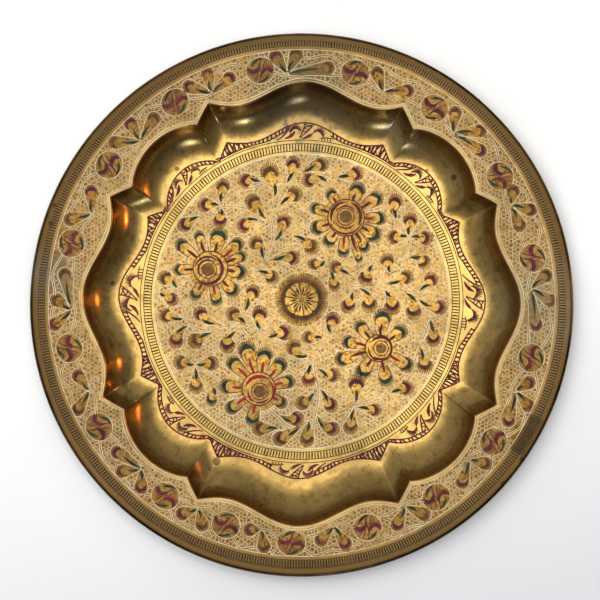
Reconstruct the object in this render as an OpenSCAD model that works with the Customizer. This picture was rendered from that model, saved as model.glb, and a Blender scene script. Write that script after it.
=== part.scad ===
// Round brass serving tray: a pressed sheet with a lobed well, its edge rolled over a wire,
// and chased ornament filled with coloured lac. Millimetres, +Z up, resting on z = 0.
// Angles run clockwise from +Y, the way round that the ornament is laid out.

/* [Sheet] */
// Overall diameter over the rolled edge
tray_d = 300; // [280:5:320]
// Height of the rim's upper face above the table
rim_z = 16; // [14:0.5:18]
// Thickness of the brass sheet
sheet_t = 0.9; // [0.7:0.05:1.1]
// Steepness of the cove where it meets the rim, in degrees
cove_deg = 72; // [60:1:78]

/* [Rolled edge] */
// Outside radius of the rolled bead
bead_r = 2.2; // [2.1:0.05:2.4]
// Radius of the wire inside the bead
wire_r = 1.05; // [0.8:0.05:1.1]

/* [Well] */
// Radii of the rim's inner edge: big lobe, valley, peak, cusp, small lobe
rim_edge = [122, 114.2, 122, 114.3, 121];
// Radii of the flat floor's edge at the same five places
floor_edge = [101.5, 94, 99.2, 91.5, 100.8];
// How far the rim's inner edge sits off centre
rim_edge_off = [0, 0.5];
// How far the floor sits off centre
floor_off = [0, 1.9];
// Width of the lobed edge as a share of its height
edge_stretch = 0.985; // [0.97:0.005:1]
// Mean turn of the lobes, and how much more they turn on the left than on the right
lobe_turn = [1.1, 1.1];

/* [Lac] */
// How far a lac fill stands over the brass
lac_t = 0.2; // [0.1:0.05:0.3]
// Width of the white lines
line_w = 0.6; // [0.4:0.1:0.8]

/* [Ornament on the rim] */
// Middle angle of each roundel
roundel_deg = [13, 34, 57, 78.5, 103, 125.5, 145, 163.5, 182.5, 199, 215.5, 239, 259.5, 285, 306, 328, 350];
// Distance of the roundels from the tray's centre
roundel_at = 130; // [128:0.5:132]
// Outside radius of a roundel
roundel_r = 6.4; // [6:0.1:7]
// Inner and outer radius of the ticked band
tick_band = [141.8, 145.3];
// Number of ticks, one for every few that the real band has
tick_count = 120; // [60:10:160]

/* [Ornament on the floor] */
// Radius of the maroon ring round the floor's field
ring_r = 90.1; // [89:0.1:91]
// Inner and outer radius of the ladder band
ladder_band = [84.3, 88.1];
// Number of rungs in the ladder band
ladder_count = 96; // [48:8:160]
// Radius of the white line round the field
field_r = 82.4; // [81:0.1:83]
// Centre of the rosette
rosette_at = [0, 2.9];
// Each dahlia: x, y, radius of its ring, and radius out to its caps
dahlias = [[-52.4, 19.5, 9.8, 20], [24.6, 49.1, 10.2, 18], [44.3, -24.4, 7.3, 17], [-23.4, -48.5, 9, 20]];
// Caps round each dahlia
cap_count = 10; // [8:1:12]

/* [Hidden] */
// Buds with maroon caps: cap x, cap y, facing angle anticlockwise from +X, and leaf length
maroon_buds = [
    [-30, 69, 175, 6], [-5, 77, 80, 5], [9.5, 77.5, 20, 8], [-44, 64.5, 90, 5], [-52.5, 55.5, 180, 5],
    [-45.5, 48, 270, 5], [-64, 45, 205, 6], [-31, 44.5, 200, 6], [-10.5, 45, 65, 8], [-6.5, 26, 0, 9],
    [-28, 5.5, 55, 9], [5.5, 69.5, 190, 6], [29, 72.5, 15, 7], [52, 56, 80, 6], [60.5, 45.5, 90, 5],
    [53, 37.5, 180, 5], [67.5, 37, 0, 5], [36.5, 16, 240, 6], [71.5, 12.5, 60, 8], [26.5, 0.5, -110, 6],
    [50.5, 0.5, -85, 6], [75.5, -1.5, -10, 8], [17, -10, 75, 6], [4, -40.5, -95, 7], [39.5, -59, 0, 5],
    [57, -47, 5, 7], [73.5, -18, -90, 8], [15, -55.5, -30, 8], [15.5, -69, -20, 8], [-4.5, -64, 0, 8],
    [-10.5, -74.5, 200, 8], [-70, -19, -95, 8], [-55.5, -6.5, 130, 9], [-41.5, -21, -90, 8],
    [-37, -6.5, 140, 6], [-23.5, -7, 90, 7], [-11.5, -16, 5, 7], [-66, -32.5, 180, 5],
    [-52, -33, 0, 5], [-59, -44.5, 270, 6]
];
// Buds with brown caps, in the same four numbers
brown_buds = [
    [-17.5, 72, 100, 9], [-26, 56, 135, 9], [-5.5, 60.5, 30, 9], [-24.5, 33, 130, 8], [-18, 16, -40, 7],
    [-75, 14, 150, 5], [-73.5, 3.5, -30, 5], [4, 33, -35, 8], [67, 24.5, -35, 7], [48, 23, 95, 6],
    [8, 22.5, 185, 6], [20, 20, 145, 6], [18, 11.5, -75, 6], [57, 14.5, 20, 9], [37.5, 1.5, -80, 7],
    [62.5, -2.5, -90, 8], [5, -18.5, 180, 6], [-3.5, -25.5, 130, 8], [16, -39.5, -5, 8],
    [30.5, -46, 90, 6], [27.5, -67, 265, 6], [68.5, -32.5, -80, 8], [2, -54.5, 200, 6],
    [3, -74, -95, 7], [-22, -69.5, 180, 8], [-74.5, -6.5, 175, 8], [-57.5, -19.5, 210, 8], [-50, -52.5, 250, 5]
];
// Feature angles of one eighth of the lobed edge: valley, peak, cusp
valley_a = 17.7;
peak_a = 26.8;
cusp_a = 32.4;
// Column angles in one eighth, closer together where the edge turns sharply
eighth = [0, 4.5, 9, 13, 17.7, 22.5, 26.8, 29.6, 32.4, 34.5, 38, 41.5];
cols = [for (q = [0 : 90 : 359], s = [0, 1], i = [0 : len(eighth) - 1])
    q + (s == 0 ? eighth[i] : 90 - (i == 0 ? 45 : eighth[len(eighth) - i]))];
n = len(cols);
bead_at = tray_d / 2 - bead_r;
bead_z = rim_z + 0.3 - bead_r;
inner_r = bead_r - sheet_t + 0.05;
cove_steps = 6;

// The angle within one eighth that the lobed edge repeats by
function fold(a) = let (m = ((a % 90) + 90) % 90) m > 45 ? 90 - m : m;
// A lobed outline through five radii, at angle a
function lobed(a, e) = let (f = fold(a))
    f <= valley_a ? e[1] + (e[0] - e[1]) * (1 + cos(180 * f / valley_a)) / 2 :
    f <= peak_a ? e[1] + (e[2] - e[1]) * pow((f - valley_a) / (peak_a - valley_a), 2) :
    f <= cusp_a ? e[2] + (e[3] - e[2]) * (f - peak_a) / (cusp_a - peak_a) :
    e[3] + (e[4] - e[3]) * pow(sin(90 * (f - cusp_a) / (45 - cusp_a)), 0.75);
// The angle on the tray of a lobe angle
function turned(a) = a + lobe_turn[0] - lobe_turn[1] * sin(a);
// Points of the rim's inner edge and of the floor's edge, moved outwards by d
function at(r, a) = [r * sin(a), r * cos(a)];
function rim_pt(a, d = 0) = let (p = at(lobed(a, rim_edge) + d, turned(a)))
    [p[0] * edge_stretch, p[1]] + rim_edge_off;
function floor_pt(a, d = 0) = at(lobed(a, floor_edge) + d, turned(a)) + floor_off;
// A point on the cove, u from the floor's edge to the rim's, with the underside a sheet lower
function cove_pt(a, u, under) =
    let (s = sin(cove_deg * u) / sin(cove_deg), h = (1 - cos(cove_deg * u)) / (1 - cos(cove_deg)),
        f = floor_pt(a), r = rim_pt(a), away = at(1, turned(a)),
        p = f + (r - f) * s + away * (under ? sheet_t * sin(cove_deg * u) : 0))
    [p[0], p[1], sheet_t + (rim_z - sheet_t) * h - (under ? sheet_t * cos(cove_deg * u) : 0)];
// A ring of points round the rim, at a radius and height
function rim_ring(r, z) = [for (a = cols) concat(at(r, turned(a)), z)];
function bead_ring(rad, t) = rim_ring(bead_at + rad * cos(t), bead_z + rad * sin(t));
// Every ring of the sheet, from the middle of its upper face out round the edge to its underside
rings = concat(
    [for (k = [0 : cove_steps]) [for (a = cols) cove_pt(a, k / cove_steps, false)]],
    [rim_ring(bead_at - 3, rim_z)],
    [for (t = [100, 60, 20, -20, -60, -100, -140, -190]) bead_ring(bead_r, t)],
    [for (t = [-190, -140, -90, -40, 10, 60, 110]) bead_ring(inner_r, t)],
    [rim_ring(bead_at - 3, rim_z - sheet_t)],
    [for (k = [cove_steps : -1 : 0]) [for (a = cols) cove_pt(a, k / cove_steps, true)]]);
last = len(rings) - 1;
sheet_points = concat([for (r = rings, p = r) p], [concat(floor_off, sheet_t)], [concat(floor_off, 0)]);
sheet_faces = concat(
    [for (k = [0 : last - 1], i = [0 : n - 1]) let (j = (i + 1) % n) [k * n + i, k * n + j, (k + 1) * n + j]],
    [for (k = [0 : last - 1], i = [0 : n - 1]) let (j = (i + 1) % n)
        [k * n + i, (k + 1) * n + j, (k + 1) * n + i]],
    [for (i = [0 : n - 1]) [n * (last + 1), (i + 1) % n, i]],
    [for (i = [0 : n - 1]) [n * (last + 1) + 1, last * n + i, last * n + (i + 1) % n]]);

// Places its children on the floor's or the rim's upper face
module on_floor() translate([0, 0, sheet_t]) children();
module on_rim() translate([0, 0, rim_z]) children();
// A flat ring of lac between two radii
module band(r1, r2) linear_extrude(lac_t) difference() {
    circle(r2, $fn = 180);
    circle(r1, $fn = 180);
}
// Ticks standing across a band
module ticks(r1, r2, count, w) for (i = [0 : count - 1])
    rotate(i * 360 / count) translate([r1, -w / 2, 0]) cube([r2 - r1, w, lac_t]);
// A crescent cap of radius r that bulges along +X
module cap(r) linear_extrude(lac_t) polygon([
    [0, r], [r * 0.75, r * 0.75], [r, 0], [r * 0.75, -r * 0.75], [0, -r],
    [r * 0.25, -r * 0.45], [r * 0.4, 0], [r * 0.25, r * 0.45]]);
// A tapered leaf stroke that starts behind its cap and runs back along -X
module leaf(len) linear_extrude(lac_t) polygon([[-0.4, 0], [-len / 2, 0.8], [-0.4 - len, 0], [-len / 2, -0.7]]);
// A closed band that follows the lobed floor edge, from d1 to d2 outside it
module floor_lobes(d1, d2) linear_extrude(lac_t) polygon(
    points = concat([for (a = cols) floor_pt(a, d2)], [for (a = cols) floor_pt(a, d1)]),
    paths = [[for (i = [0 : n - 1]) i], [for (i = [0 : n - 1]) n + i]]);
module rim_lobes(d1, d2) linear_extrude(lac_t) polygon(
    points = concat([for (a = cols) rim_pt(a, d2)], [for (a = cols) rim_pt(a, d1)]),
    paths = [[for (i = [0 : n - 1]) i], [for (i = [0 : n - 1]) n + i]]);
// Turns its children to each roundel, with +Y outwards
module at_roundels() for (a = roundel_deg) rotate(-a) translate([0, roundel_at, 0]) children();
// Turns its children to the middle of each gap between roundels
module at_gaps(share) for (i = [0 : len(roundel_deg) - 1]) {
    from = roundel_deg[i] - (i == len(roundel_deg) - 1 ? 360 : 0);
    to = roundel_deg[(i + 1) % len(roundel_deg)];
    rotate(-(from + (to - from) * share)) translate([0, roundel_at, 0]) children();
}

module tray_sheet() color("darkgoldenrod") polyhedron(points = sheet_points, faces = sheet_faces);
module rim_wire() color("peru") rotate_extrude($fn = 180) translate([bead_at, bead_z]) circle(wire_r, $fn = 32);
module rim_tick_lac() color("darkolivegreen") on_rim()
    ticks(tick_band[0], tick_band[1] - 0.5, tick_count, 0.7);
module rim_line_lac() color("darkolivegreen") on_rim() band(tick_band[1], tick_band[1] + 0.4);
module rim_border_lac() color("cornsilk") on_rim() {
    band(139.4, 139.4 + line_w);
    rim_lobes(3.5, 3.5 + line_w);
}
module roundel_ring_lac() color("cornsilk") on_rim() at_roundels() band(roundel_r - line_w, roundel_r);
module roundel_maroon_lac() color("maroon") on_rim() at_roundels()
    for (s = [0, 180]) rotate(s) translate([-1.6, 0.4, 0]) rotate(160) cap(2.8);
module roundel_green_lac() color("darkslategray") on_rim() at_roundels()
    for (s = [0, 180]) rotate(s) translate([2.2, 3.8, 0]) leaf(4);
module rim_bud_lac() color("saddlebrown") on_rim() {
    at_gaps(0.36) translate([0, 3.5, 0]) rotate(90) cap(2.2);
    at_gaps(0.62) rotate(10) translate([1.4, -1.5, 0]) cap(2.2);
}
module rim_leaf_lac() color("darkslategray") on_rim() {
    at_gaps(0.36) translate([0, 3, 0]) rotate(90) leaf(4.5);
    at_gaps(0.62) rotate(10) translate([1, -1.5, 0]) leaf(5);
}
module spandrel_border_lac() color("maroon") on_floor() {
    difference() {
        floor_lobes(-3.4, -0.8);
        translate([0, floor_off[1], -1]) cylinder(h = 3, r = ring_r + 1.4, $fn = 180);
    }
}
module spandrel_scroll_lac() color("maroon") on_floor() for (q = [0 : 90 : 270], s = [-1, 1])
    translate(concat(floor_off, 0)) rotate(-turned(q)) translate([s * 4, 93.5, 0]) rotate(90 - s * 60) cap(2);
module floor_ring_lac() color("maroon") on_floor() translate(concat(floor_off, 0)) band(ring_r - 0.2, ring_r + 0.2);
module floor_ladder_lac() color("darkolivegreen") on_floor() translate(concat(floor_off, 0)) {
    band(ladder_band[0], ladder_band[0] + 0.4);
    band(ladder_band[1] - 0.4, ladder_band[1]);
    ticks(ladder_band[0] + 0.2, ladder_band[1] - 0.2, ladder_count, 0.6);
}
module field_line_lac() color("cornsilk") on_floor() translate(concat(floor_off, 0)) band(field_r, field_r + line_w);
module rosette_halo_lac() color("sienna") on_floor() translate(concat(rosette_at, 0)) band(10.4, 13.5);
module rosette_petal_lac() color("maroon") on_floor() translate(concat(rosette_at, 0)) {
    band(9.4, 9.8);
    ticks(2, 9.5, 10, 0.5);
    cylinder(h = lac_t, r = 1.2);
}
module dahlia_ring_lac() color("maroon") on_floor() for (d = dahlias) translate([d[0], d[1], 0]) {
    band(d[2] - 0.9, d[2]);
    band(d[2] * 0.55, d[2] * 0.65);
}
module dahlia_stroke_lac() color("crimson") on_floor() for (d = dahlias) translate([d[0], d[1], 0])
    rotate(180 / cap_count) ticks(d[2] + 0.5, d[3] - 3.5, cap_count, 0.9);
module dahlia_cap_lac() color("darkslategray") on_floor() for (d = dahlias, i = [0 : cap_count - 1])
    translate([d[0], d[1], 0]) rotate(i * 360 / cap_count) translate([d[3] - 3.5, 0, 0]) cap(2.8);
module bud_caps(list) for (b = list) translate([b[0], b[1], 0]) rotate(b[2]) cap(2.6);
module bud_maroon_lac() color("maroon") on_floor() bud_caps(maroon_buds);
module bud_brown_lac() color("saddlebrown") on_floor() bud_caps(brown_buds);
module leaf_green_lac() color("darkslategray") on_floor() for (b = concat(maroon_buds, brown_buds))
    translate([b[0], b[1], 0]) rotate(b[2]) leaf(b[3] * 0.6);

tray_sheet();
rim_wire();
rim_tick_lac();
rim_line_lac();
rim_border_lac();
roundel_ring_lac();
roundel_maroon_lac();
roundel_green_lac();
rim_bud_lac();
rim_leaf_lac();
spandrel_border_lac();
spandrel_scroll_lac();
floor_ring_lac();
floor_ladder_lac();
field_line_lac();
rosette_halo_lac();
rosette_petal_lac();
dahlia_ring_lac();
dahlia_stroke_lac();
dahlia_cap_lac();
bud_maroon_lac();
bud_brown_lac();
leaf_green_lac();
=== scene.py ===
# %% [markdown]
# # A pressed brass tray with lac-filled ornament
# The real tray is one sheet of brass, pressed to a flat rim, a lobed cove and a flat floor, with its edge
# rolled over a wire. A chaser cuts the ornament, melts coloured lac into the cuts and scrapes it flush.
# This script follows the same order: sheet, wire, then each colour of lac as thin inlays of its own.

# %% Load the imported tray
import itertools
import math
import random

import bmesh
import bpy
import numpy as np
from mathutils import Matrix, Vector, noise
from mathutils.geometry import convex_hull_2d, delaunay_2d_cdt
from mathutils.kdtree import KDTree


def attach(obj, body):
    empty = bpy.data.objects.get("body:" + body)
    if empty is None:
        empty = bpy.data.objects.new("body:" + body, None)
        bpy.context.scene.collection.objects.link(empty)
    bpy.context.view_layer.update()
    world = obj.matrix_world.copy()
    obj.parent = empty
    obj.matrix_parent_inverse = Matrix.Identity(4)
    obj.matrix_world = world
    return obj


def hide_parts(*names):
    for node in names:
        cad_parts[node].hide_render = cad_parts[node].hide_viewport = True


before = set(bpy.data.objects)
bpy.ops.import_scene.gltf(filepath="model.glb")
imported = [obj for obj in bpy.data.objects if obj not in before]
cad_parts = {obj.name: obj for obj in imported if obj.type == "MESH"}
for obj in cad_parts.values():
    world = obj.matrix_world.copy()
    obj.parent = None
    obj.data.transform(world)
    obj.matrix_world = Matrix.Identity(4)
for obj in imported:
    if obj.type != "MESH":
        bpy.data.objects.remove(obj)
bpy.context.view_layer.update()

# %% [markdown]
# ## The tray's own measures
# All lengths below are millimetres and turn into metres only when a mesh is finished. Angles run clockwise
# from the back of the tray (+Y), the way round that a chaser turns it on the bench. The lobed edge repeats
# eight times as one curve and its mirror image, so one short function gives the whole outline.

# %% Measures and the lobed outline
MM = 0.001
TRAY_R = 149.75
RIM_Z = 16.0
SHEET_T = 0.9
BEAD_R = 2.2
WIRE_ROOM = BEAD_R - SHEET_T + 0.05
BEAD_AT = TRAY_R - BEAD_R
BEAD_Z = RIM_Z + 0.26 - BEAD_R
COVE_TOP = math.radians(72)
FLOOR_CENTRE = Vector((0.0, 1.9))
RIM_EDGE_CENTRE = Vector((0.0, 0.5))
RIM_EDGE = (122.0, 114.2, 122.0, 114.3, 121.0)
FLOOR_EDGE = (101.5, 94.0, 99.2, 91.5, 100.8)
VALLEY, PEAK, CUSP = 17.7, 26.8, 32.4


def polar(radius, angle):
    """The point at this radius and clockwise angle from the back."""
    return Vector((radius * math.sin(math.radians(angle)), radius * math.cos(math.radians(angle))))


def toward(degrees):
    """A unit step in this direction, counted anticlockwise from the right."""
    return Vector((math.cos(math.radians(degrees)), math.sin(math.radians(degrees))))


def on_floor(x, y):
    """The point this far to the right and to the back of the floor's middle."""
    return FLOOR_CENTRE + Vector((x, y))


def lobed(angle, radii):
    """Radius of the lobed outline: big lobe, valley, sharp peak, slanted facet to a cusp, small lobe."""
    lobe, valley, peak, cusp, small = radii
    turn = angle % 90
    turn = 90 - turn if turn > 45 else turn
    if turn <= VALLEY:
        return valley + (lobe - valley) * (1 + math.cos(math.pi * turn / VALLEY)) / 2
    if turn <= PEAK:
        return valley + (peak - valley) * ((turn - VALLEY) / (PEAK - VALLEY)) ** 2
    if turn <= CUSP:
        return peak + (cusp - peak) * (turn - PEAK) / (CUSP - PEAK)
    return cusp + (small - cusp) * math.sin(math.pi / 2 * (turn - CUSP) / (45 - CUSP)) ** 0.75


def turned(angle):
    """Where a lobe's angle falls on this tray: the press sat a little askew."""
    return angle + 1.1 - 1.1 * math.sin(math.radians(angle))


def rim_edge(angle, out=0.0):
    """A point on the lobed edge of the well, or further out on the rim."""
    point = polar(lobed(angle, RIM_EDGE) + out, turned(angle))
    return Vector((point.x * 0.985, point.y)) + RIM_EDGE_CENTRE


def floor_edge(angle, out=0.0):
    """A point on the lobed foot of the cove, or further out."""
    return polar(lobed(angle, FLOOR_EDGE) + out, turned(angle)) + FLOOR_CENTRE


print("well is", round(rim_edge(0).y - rim_edge(180).y, 1), "mm across at the big lobes")

# %% [markdown]
# ## Colour and node helpers
# A screen colour is sRGB, but shaders work in linear light, so one function turns hex values over. Another
# adds a node with its settings and links in one call and gives back its output, so that a recipe reads as
# a list of steps. Settings that come back often get a short name of their own.

# %% Colour and node helpers
TIMES, TIMES_PLUS, MINUS, DOT = ({"operation": word} for word in
                                 ("MULTIPLY", "MULTIPLY_ADD", "SUBTRACT", "DOT_PRODUCT"))
SMOOTH = {"interpolation_type": "SMOOTHSTEP"}
COLOURS = {"data_type": "RGBA"}


def colour(hex_code):
    """A linear RGBA colour from an sRGB hex code."""
    parts = [int(hex_code[i:i + 2], 16) / 255 for i in (1, 3, 5)]
    return tuple(c / 12.92 if c <= 0.04045 else ((c + 0.055) / 1.055) ** 2.4 for c in parts) + (1.0,)


def fill(tree, node, **sockets):
    """Gives each socket of a node, named or numbered, a value or another node's output."""
    for key, value in sockets.items():
        socket = node.inputs[int(key[1:]) if key[1:].isdigit() else key.replace("_", " ")]
        if isinstance(value, bpy.types.NodeSocket):
            tree.links.new(value, socket)
        else:
            socket.default_value = value


def add(tree, kind, settings=None, out=0, **sockets):
    """Adds a node and gives back one of its outputs. Settings are its properties, or a ramp's tones."""
    node = tree.nodes.new("ShaderNode" + kind)
    for key, value in (settings or {}).items():
        if key == "tones":
            ends = node.color_ramp.elements
            ends[0].color, ends[1].color = colour(value[0][1]), colour(value[-1][1])
            for position, tone in value[1:-1]:
                ends.new(position).color = colour(tone)
        else:
            setattr(node, key, value)
    fill(tree, node, **sockets)
    return node.outputs[out]


def new_material(name):
    """A material with an empty Principled surface, and its tree, shader and Object coordinates."""
    material = bpy.data.materials.new(name)
    material.use_nodes = True
    tree = material.node_tree
    return material, tree, tree.nodes["Principled BSDF"], add(tree, "TexCoord", out="Object")


def grain(size_mm):
    """Texture scale for a pattern whose features are this many millimetres across."""
    return 1000.0 / size_mm


def speckle(tree, place, size_mm, low, high, detail=3.0, seed=0.0):
    """Noise of this feature size, stretched so that low goes to 0 and high to 1."""
    cloud = add(tree, "TexNoise", {"noise_dimensions": "4D"}, "Fac", Vector=place, W=seed,
                Scale=grain(size_mm), Detail=detail, Roughness=0.6)
    return add(tree, "MapRange", SMOOTH, Value=cloud, i1=low, i2=high)


def tint(tree, base, share, tone, strength=1.0):
    """Lays a tone over the base colour wherever the share reaches, at this strength."""
    amount = add(tree, "Math", TIMES, i0=share, i1=strength)
    return add(tree, "Mix", COLOURS, 2, i0=amount, i6=base, i7=colour(tone))


print("helpers ready; brass gold is", [round(c, 3) for c in colour("#E2B766")])

# %% [markdown]
# ## Aged brass
# Polished brass is a metal with a warm yellow reflection. This tray has been handled for decades: the floor
# is still bright, the rim is duller, and the cove, which no cloth reaches, has gone olive brown. The sheet
# carries a number per vertex that says which zone it is in, and the recipe mixes its colours by that
# number. Some zone colours are painted light and shade. The bright foot of the cove is polish with a painted
# highlight on its fillet, and the well's rounded edge is rubbed and has a painted highlight. Painted shade
# darkens the cove just under that edge and the side of the rolled edge. Noise at several sizes adds tarnish
# clouds, chisel mottle with each facet's light and shade painted in, blotches and specks. Some of the dulled
# areas are painted shade as well.

# %% Brass zones and stains
ZONE_FLOOR, ZONE_COVE, ZONE_RIM, ZONE_BEAD, ZONE_UNDER = 0.0, 0.25, 0.5, 0.75, 1.0
# Painted light and shade among these stops: 0.045 is the polished foot with a painted highlight on its
# fillet, 0.40 is painted shade just under the well's edge, and 0.46 is the rubbed rounded edge with a painted
# highlight.
ZONE_TONES_AND_SHADE = (
    (ZONE_FLOOR, "#FCD680"), (0.045, "#F2C878"), (0.08, "#B4985A"), (ZONE_COVE, "#A48A56"),
    (0.40, "#8C7446"), (0.46, "#D0A86C"), (ZONE_RIM, "#C2A266"), (0.57, "#AC8A52"), (0.60, "#907244"),
    # The rolled edge: 0.66 on its top, and the near-black ZONE_BEAD on its side and below, which is painted
    # shade.
    (0.66, "#604C2E"), (ZONE_BEAD, "#281E14"), (0.90, "#A08455"), (ZONE_UNDER, "#B8955E"))
# Clouds, handling marks and specks: size, noise range, detail, seed, tone and strength.
TARNISH = ((38, 0.40, 0.72, 4.0, 0.0, "#7E6238", 0.38), (6, 0.48, 0.72, 6.0, 3.0, "#6E5830", 0.46),
           (0.9, 0.66, 0.74, 2.0, 7.0, "#3A2A18", 0.6))
# Dark tarnish, rubbed gold and specks that only the cove has, in the same order.
COVE_BLOTCHES = ((5, 0.48, 0.68, 6.0, 9.0, "#54462E", 0.5), (9, 0.52, 0.72, 6.0, 13.0, "#D8B66A", 0.35),
                 (1.1, 0.59, 0.67, 6.0, 17.0, "#2E2414", 0.6))
# Where hands and damp have dulled it, and where painted shade darkens and greys the floor's front and top,
# the top of the cove and the top of the rim: clockwise angle, distance from the middle, radius, tone,
# strength.
DULL_AND_SHADED_AREAS = ((188, 66, 26, "#7A6440", 0.6), (160, 80, 20, "#8A7048", 0.5), (215, 78, 22, "#7E6440", 0.55),
              (3, 50, 16, "#8A7044", 0.35), (28, 64, 12, "#9A6A3C", 0.45), (95, 72, 14, "#9A7444", 0.35),
              (90, 128, 22, "#8A8670", 0.5), (277, 138, 12, "#77746A", 0.65), (330, 134, 20, "#6E5030", 0.4),
              (0, 108, 26, "#5E5C50", 0.75), (30, 110, 12, "#7C7C70", 0.4), (0, 136, 26, "#6E5A38", 0.8),
              (232, 134, 24, "#8A6844", 0.35))
# The small dark spots: clockwise angle, distance from the middle and radius.
SPOTS = ((6.5, 144, 0.9), (125, 148, 1.4), (131.5, 148, 1.3), (288, 145, 1.5), (292, 146.5, 1.2),
         (50, 110.5, 1.6), (43, 102.5, 1.0), (276.5, 106, 1.3), (317.5, 103, 1.4), (208.5, 99.5, 2.2),
         (62, 97, 0.8), (150, 122, 0.9))
# The tape-like stain: clockwise angle, distance from the middle, half its width and half its depth.
TAPE = (120, 142.5, 11.5, 4.6)
RAGGED = 1.6


def patch_mask(tree, place, angle, radius, half_across, half_along, soft=1.2):
    """1 inside a rectangle on the tray, turned to face its centre, with a ragged soft edge."""
    centre, outward = polar(radius, angle) * MM, polar(1, angle)
    ragged = add(tree, "TexNoise", out="Color", Vector=place, Scale=grain(3), Detail=3.0)
    wobble = add(tree, "VectorMath", TIMES_PLUS, i0=ragged, i1=(RAGGED * MM, RAGGED * MM, 0), i2=place)
    still = (centre.x + RAGGED * MM / 2, centre.y + RAGGED * MM / 2, 0)
    offset = add(tree, "VectorMath", MINUS, i0=wobble, i1=still)
    mask = 1.0
    for x, y, half in ((outward.y, -outward.x, half_across), (outward.x, outward.y, half_along)):
        along = add(tree, "VectorMath", DOT, 1, i0=offset, i1=(x, y, 0))
        off = add(tree, "Math", {"operation": "ABSOLUTE"}, i0=along)
        side = add(tree, "MapRange", SMOOTH, Value=off, i1=(half + soft) * MM, i2=(half - soft) * MM)
        mask = add(tree, "Math", TIMES, i0=side, i1=mask)
    return mask


def spot_mask(tree, place, angle, radius, size, soft=0.5):
    """1 inside a round spot on the tray."""
    centre = polar(radius, angle) * MM
    flat = add(tree, "VectorMath", TIMES, i0=place, i1=(1, 1, 0))
    away = add(tree, "VectorMath", {"operation": "DISTANCE"}, 1, i0=flat, i1=(centre.x, centre.y, 0))
    return add(tree, "MapRange", SMOOTH, Value=away, i1=(size + soft) * MM, i2=max(size - soft, 0) * MM)


# %% Aged brass
def zone_polish_and_shade(tree, place, zone):
    """The tone of each zone, painted highlights and shade included. The floor's polish, with a painted
    highlight on the fillet, ends in a ragged line at the foot of the cove.
    """
    ragged = add(tree, "TexNoise", out="Fac", Vector=place, Scale=grain(4), Detail=5.0, Roughness=0.7)
    foot = add(tree, "MapRange", Value=zone, i1=ZONE_COVE, i2=0.05)
    above = add(tree, "Math", {"operation": "GREATER_THAN"}, i0=zone, i1=0.001)
    reach = add(tree, "Math", TIMES, i0=add(tree, "Math", TIMES, i0=foot, i1=above), i1=0.14)
    push = add(tree, "Math", MINUS, i0=ragged, i1=0.5)
    shifted = add(tree, "Math", TIMES_PLUS, i0=push, i1=reach, i2=zone)
    return add(tree, "ValToRGB", {"tones": ZONE_TONES_AND_SHADE}, Fac=shifted)


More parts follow.
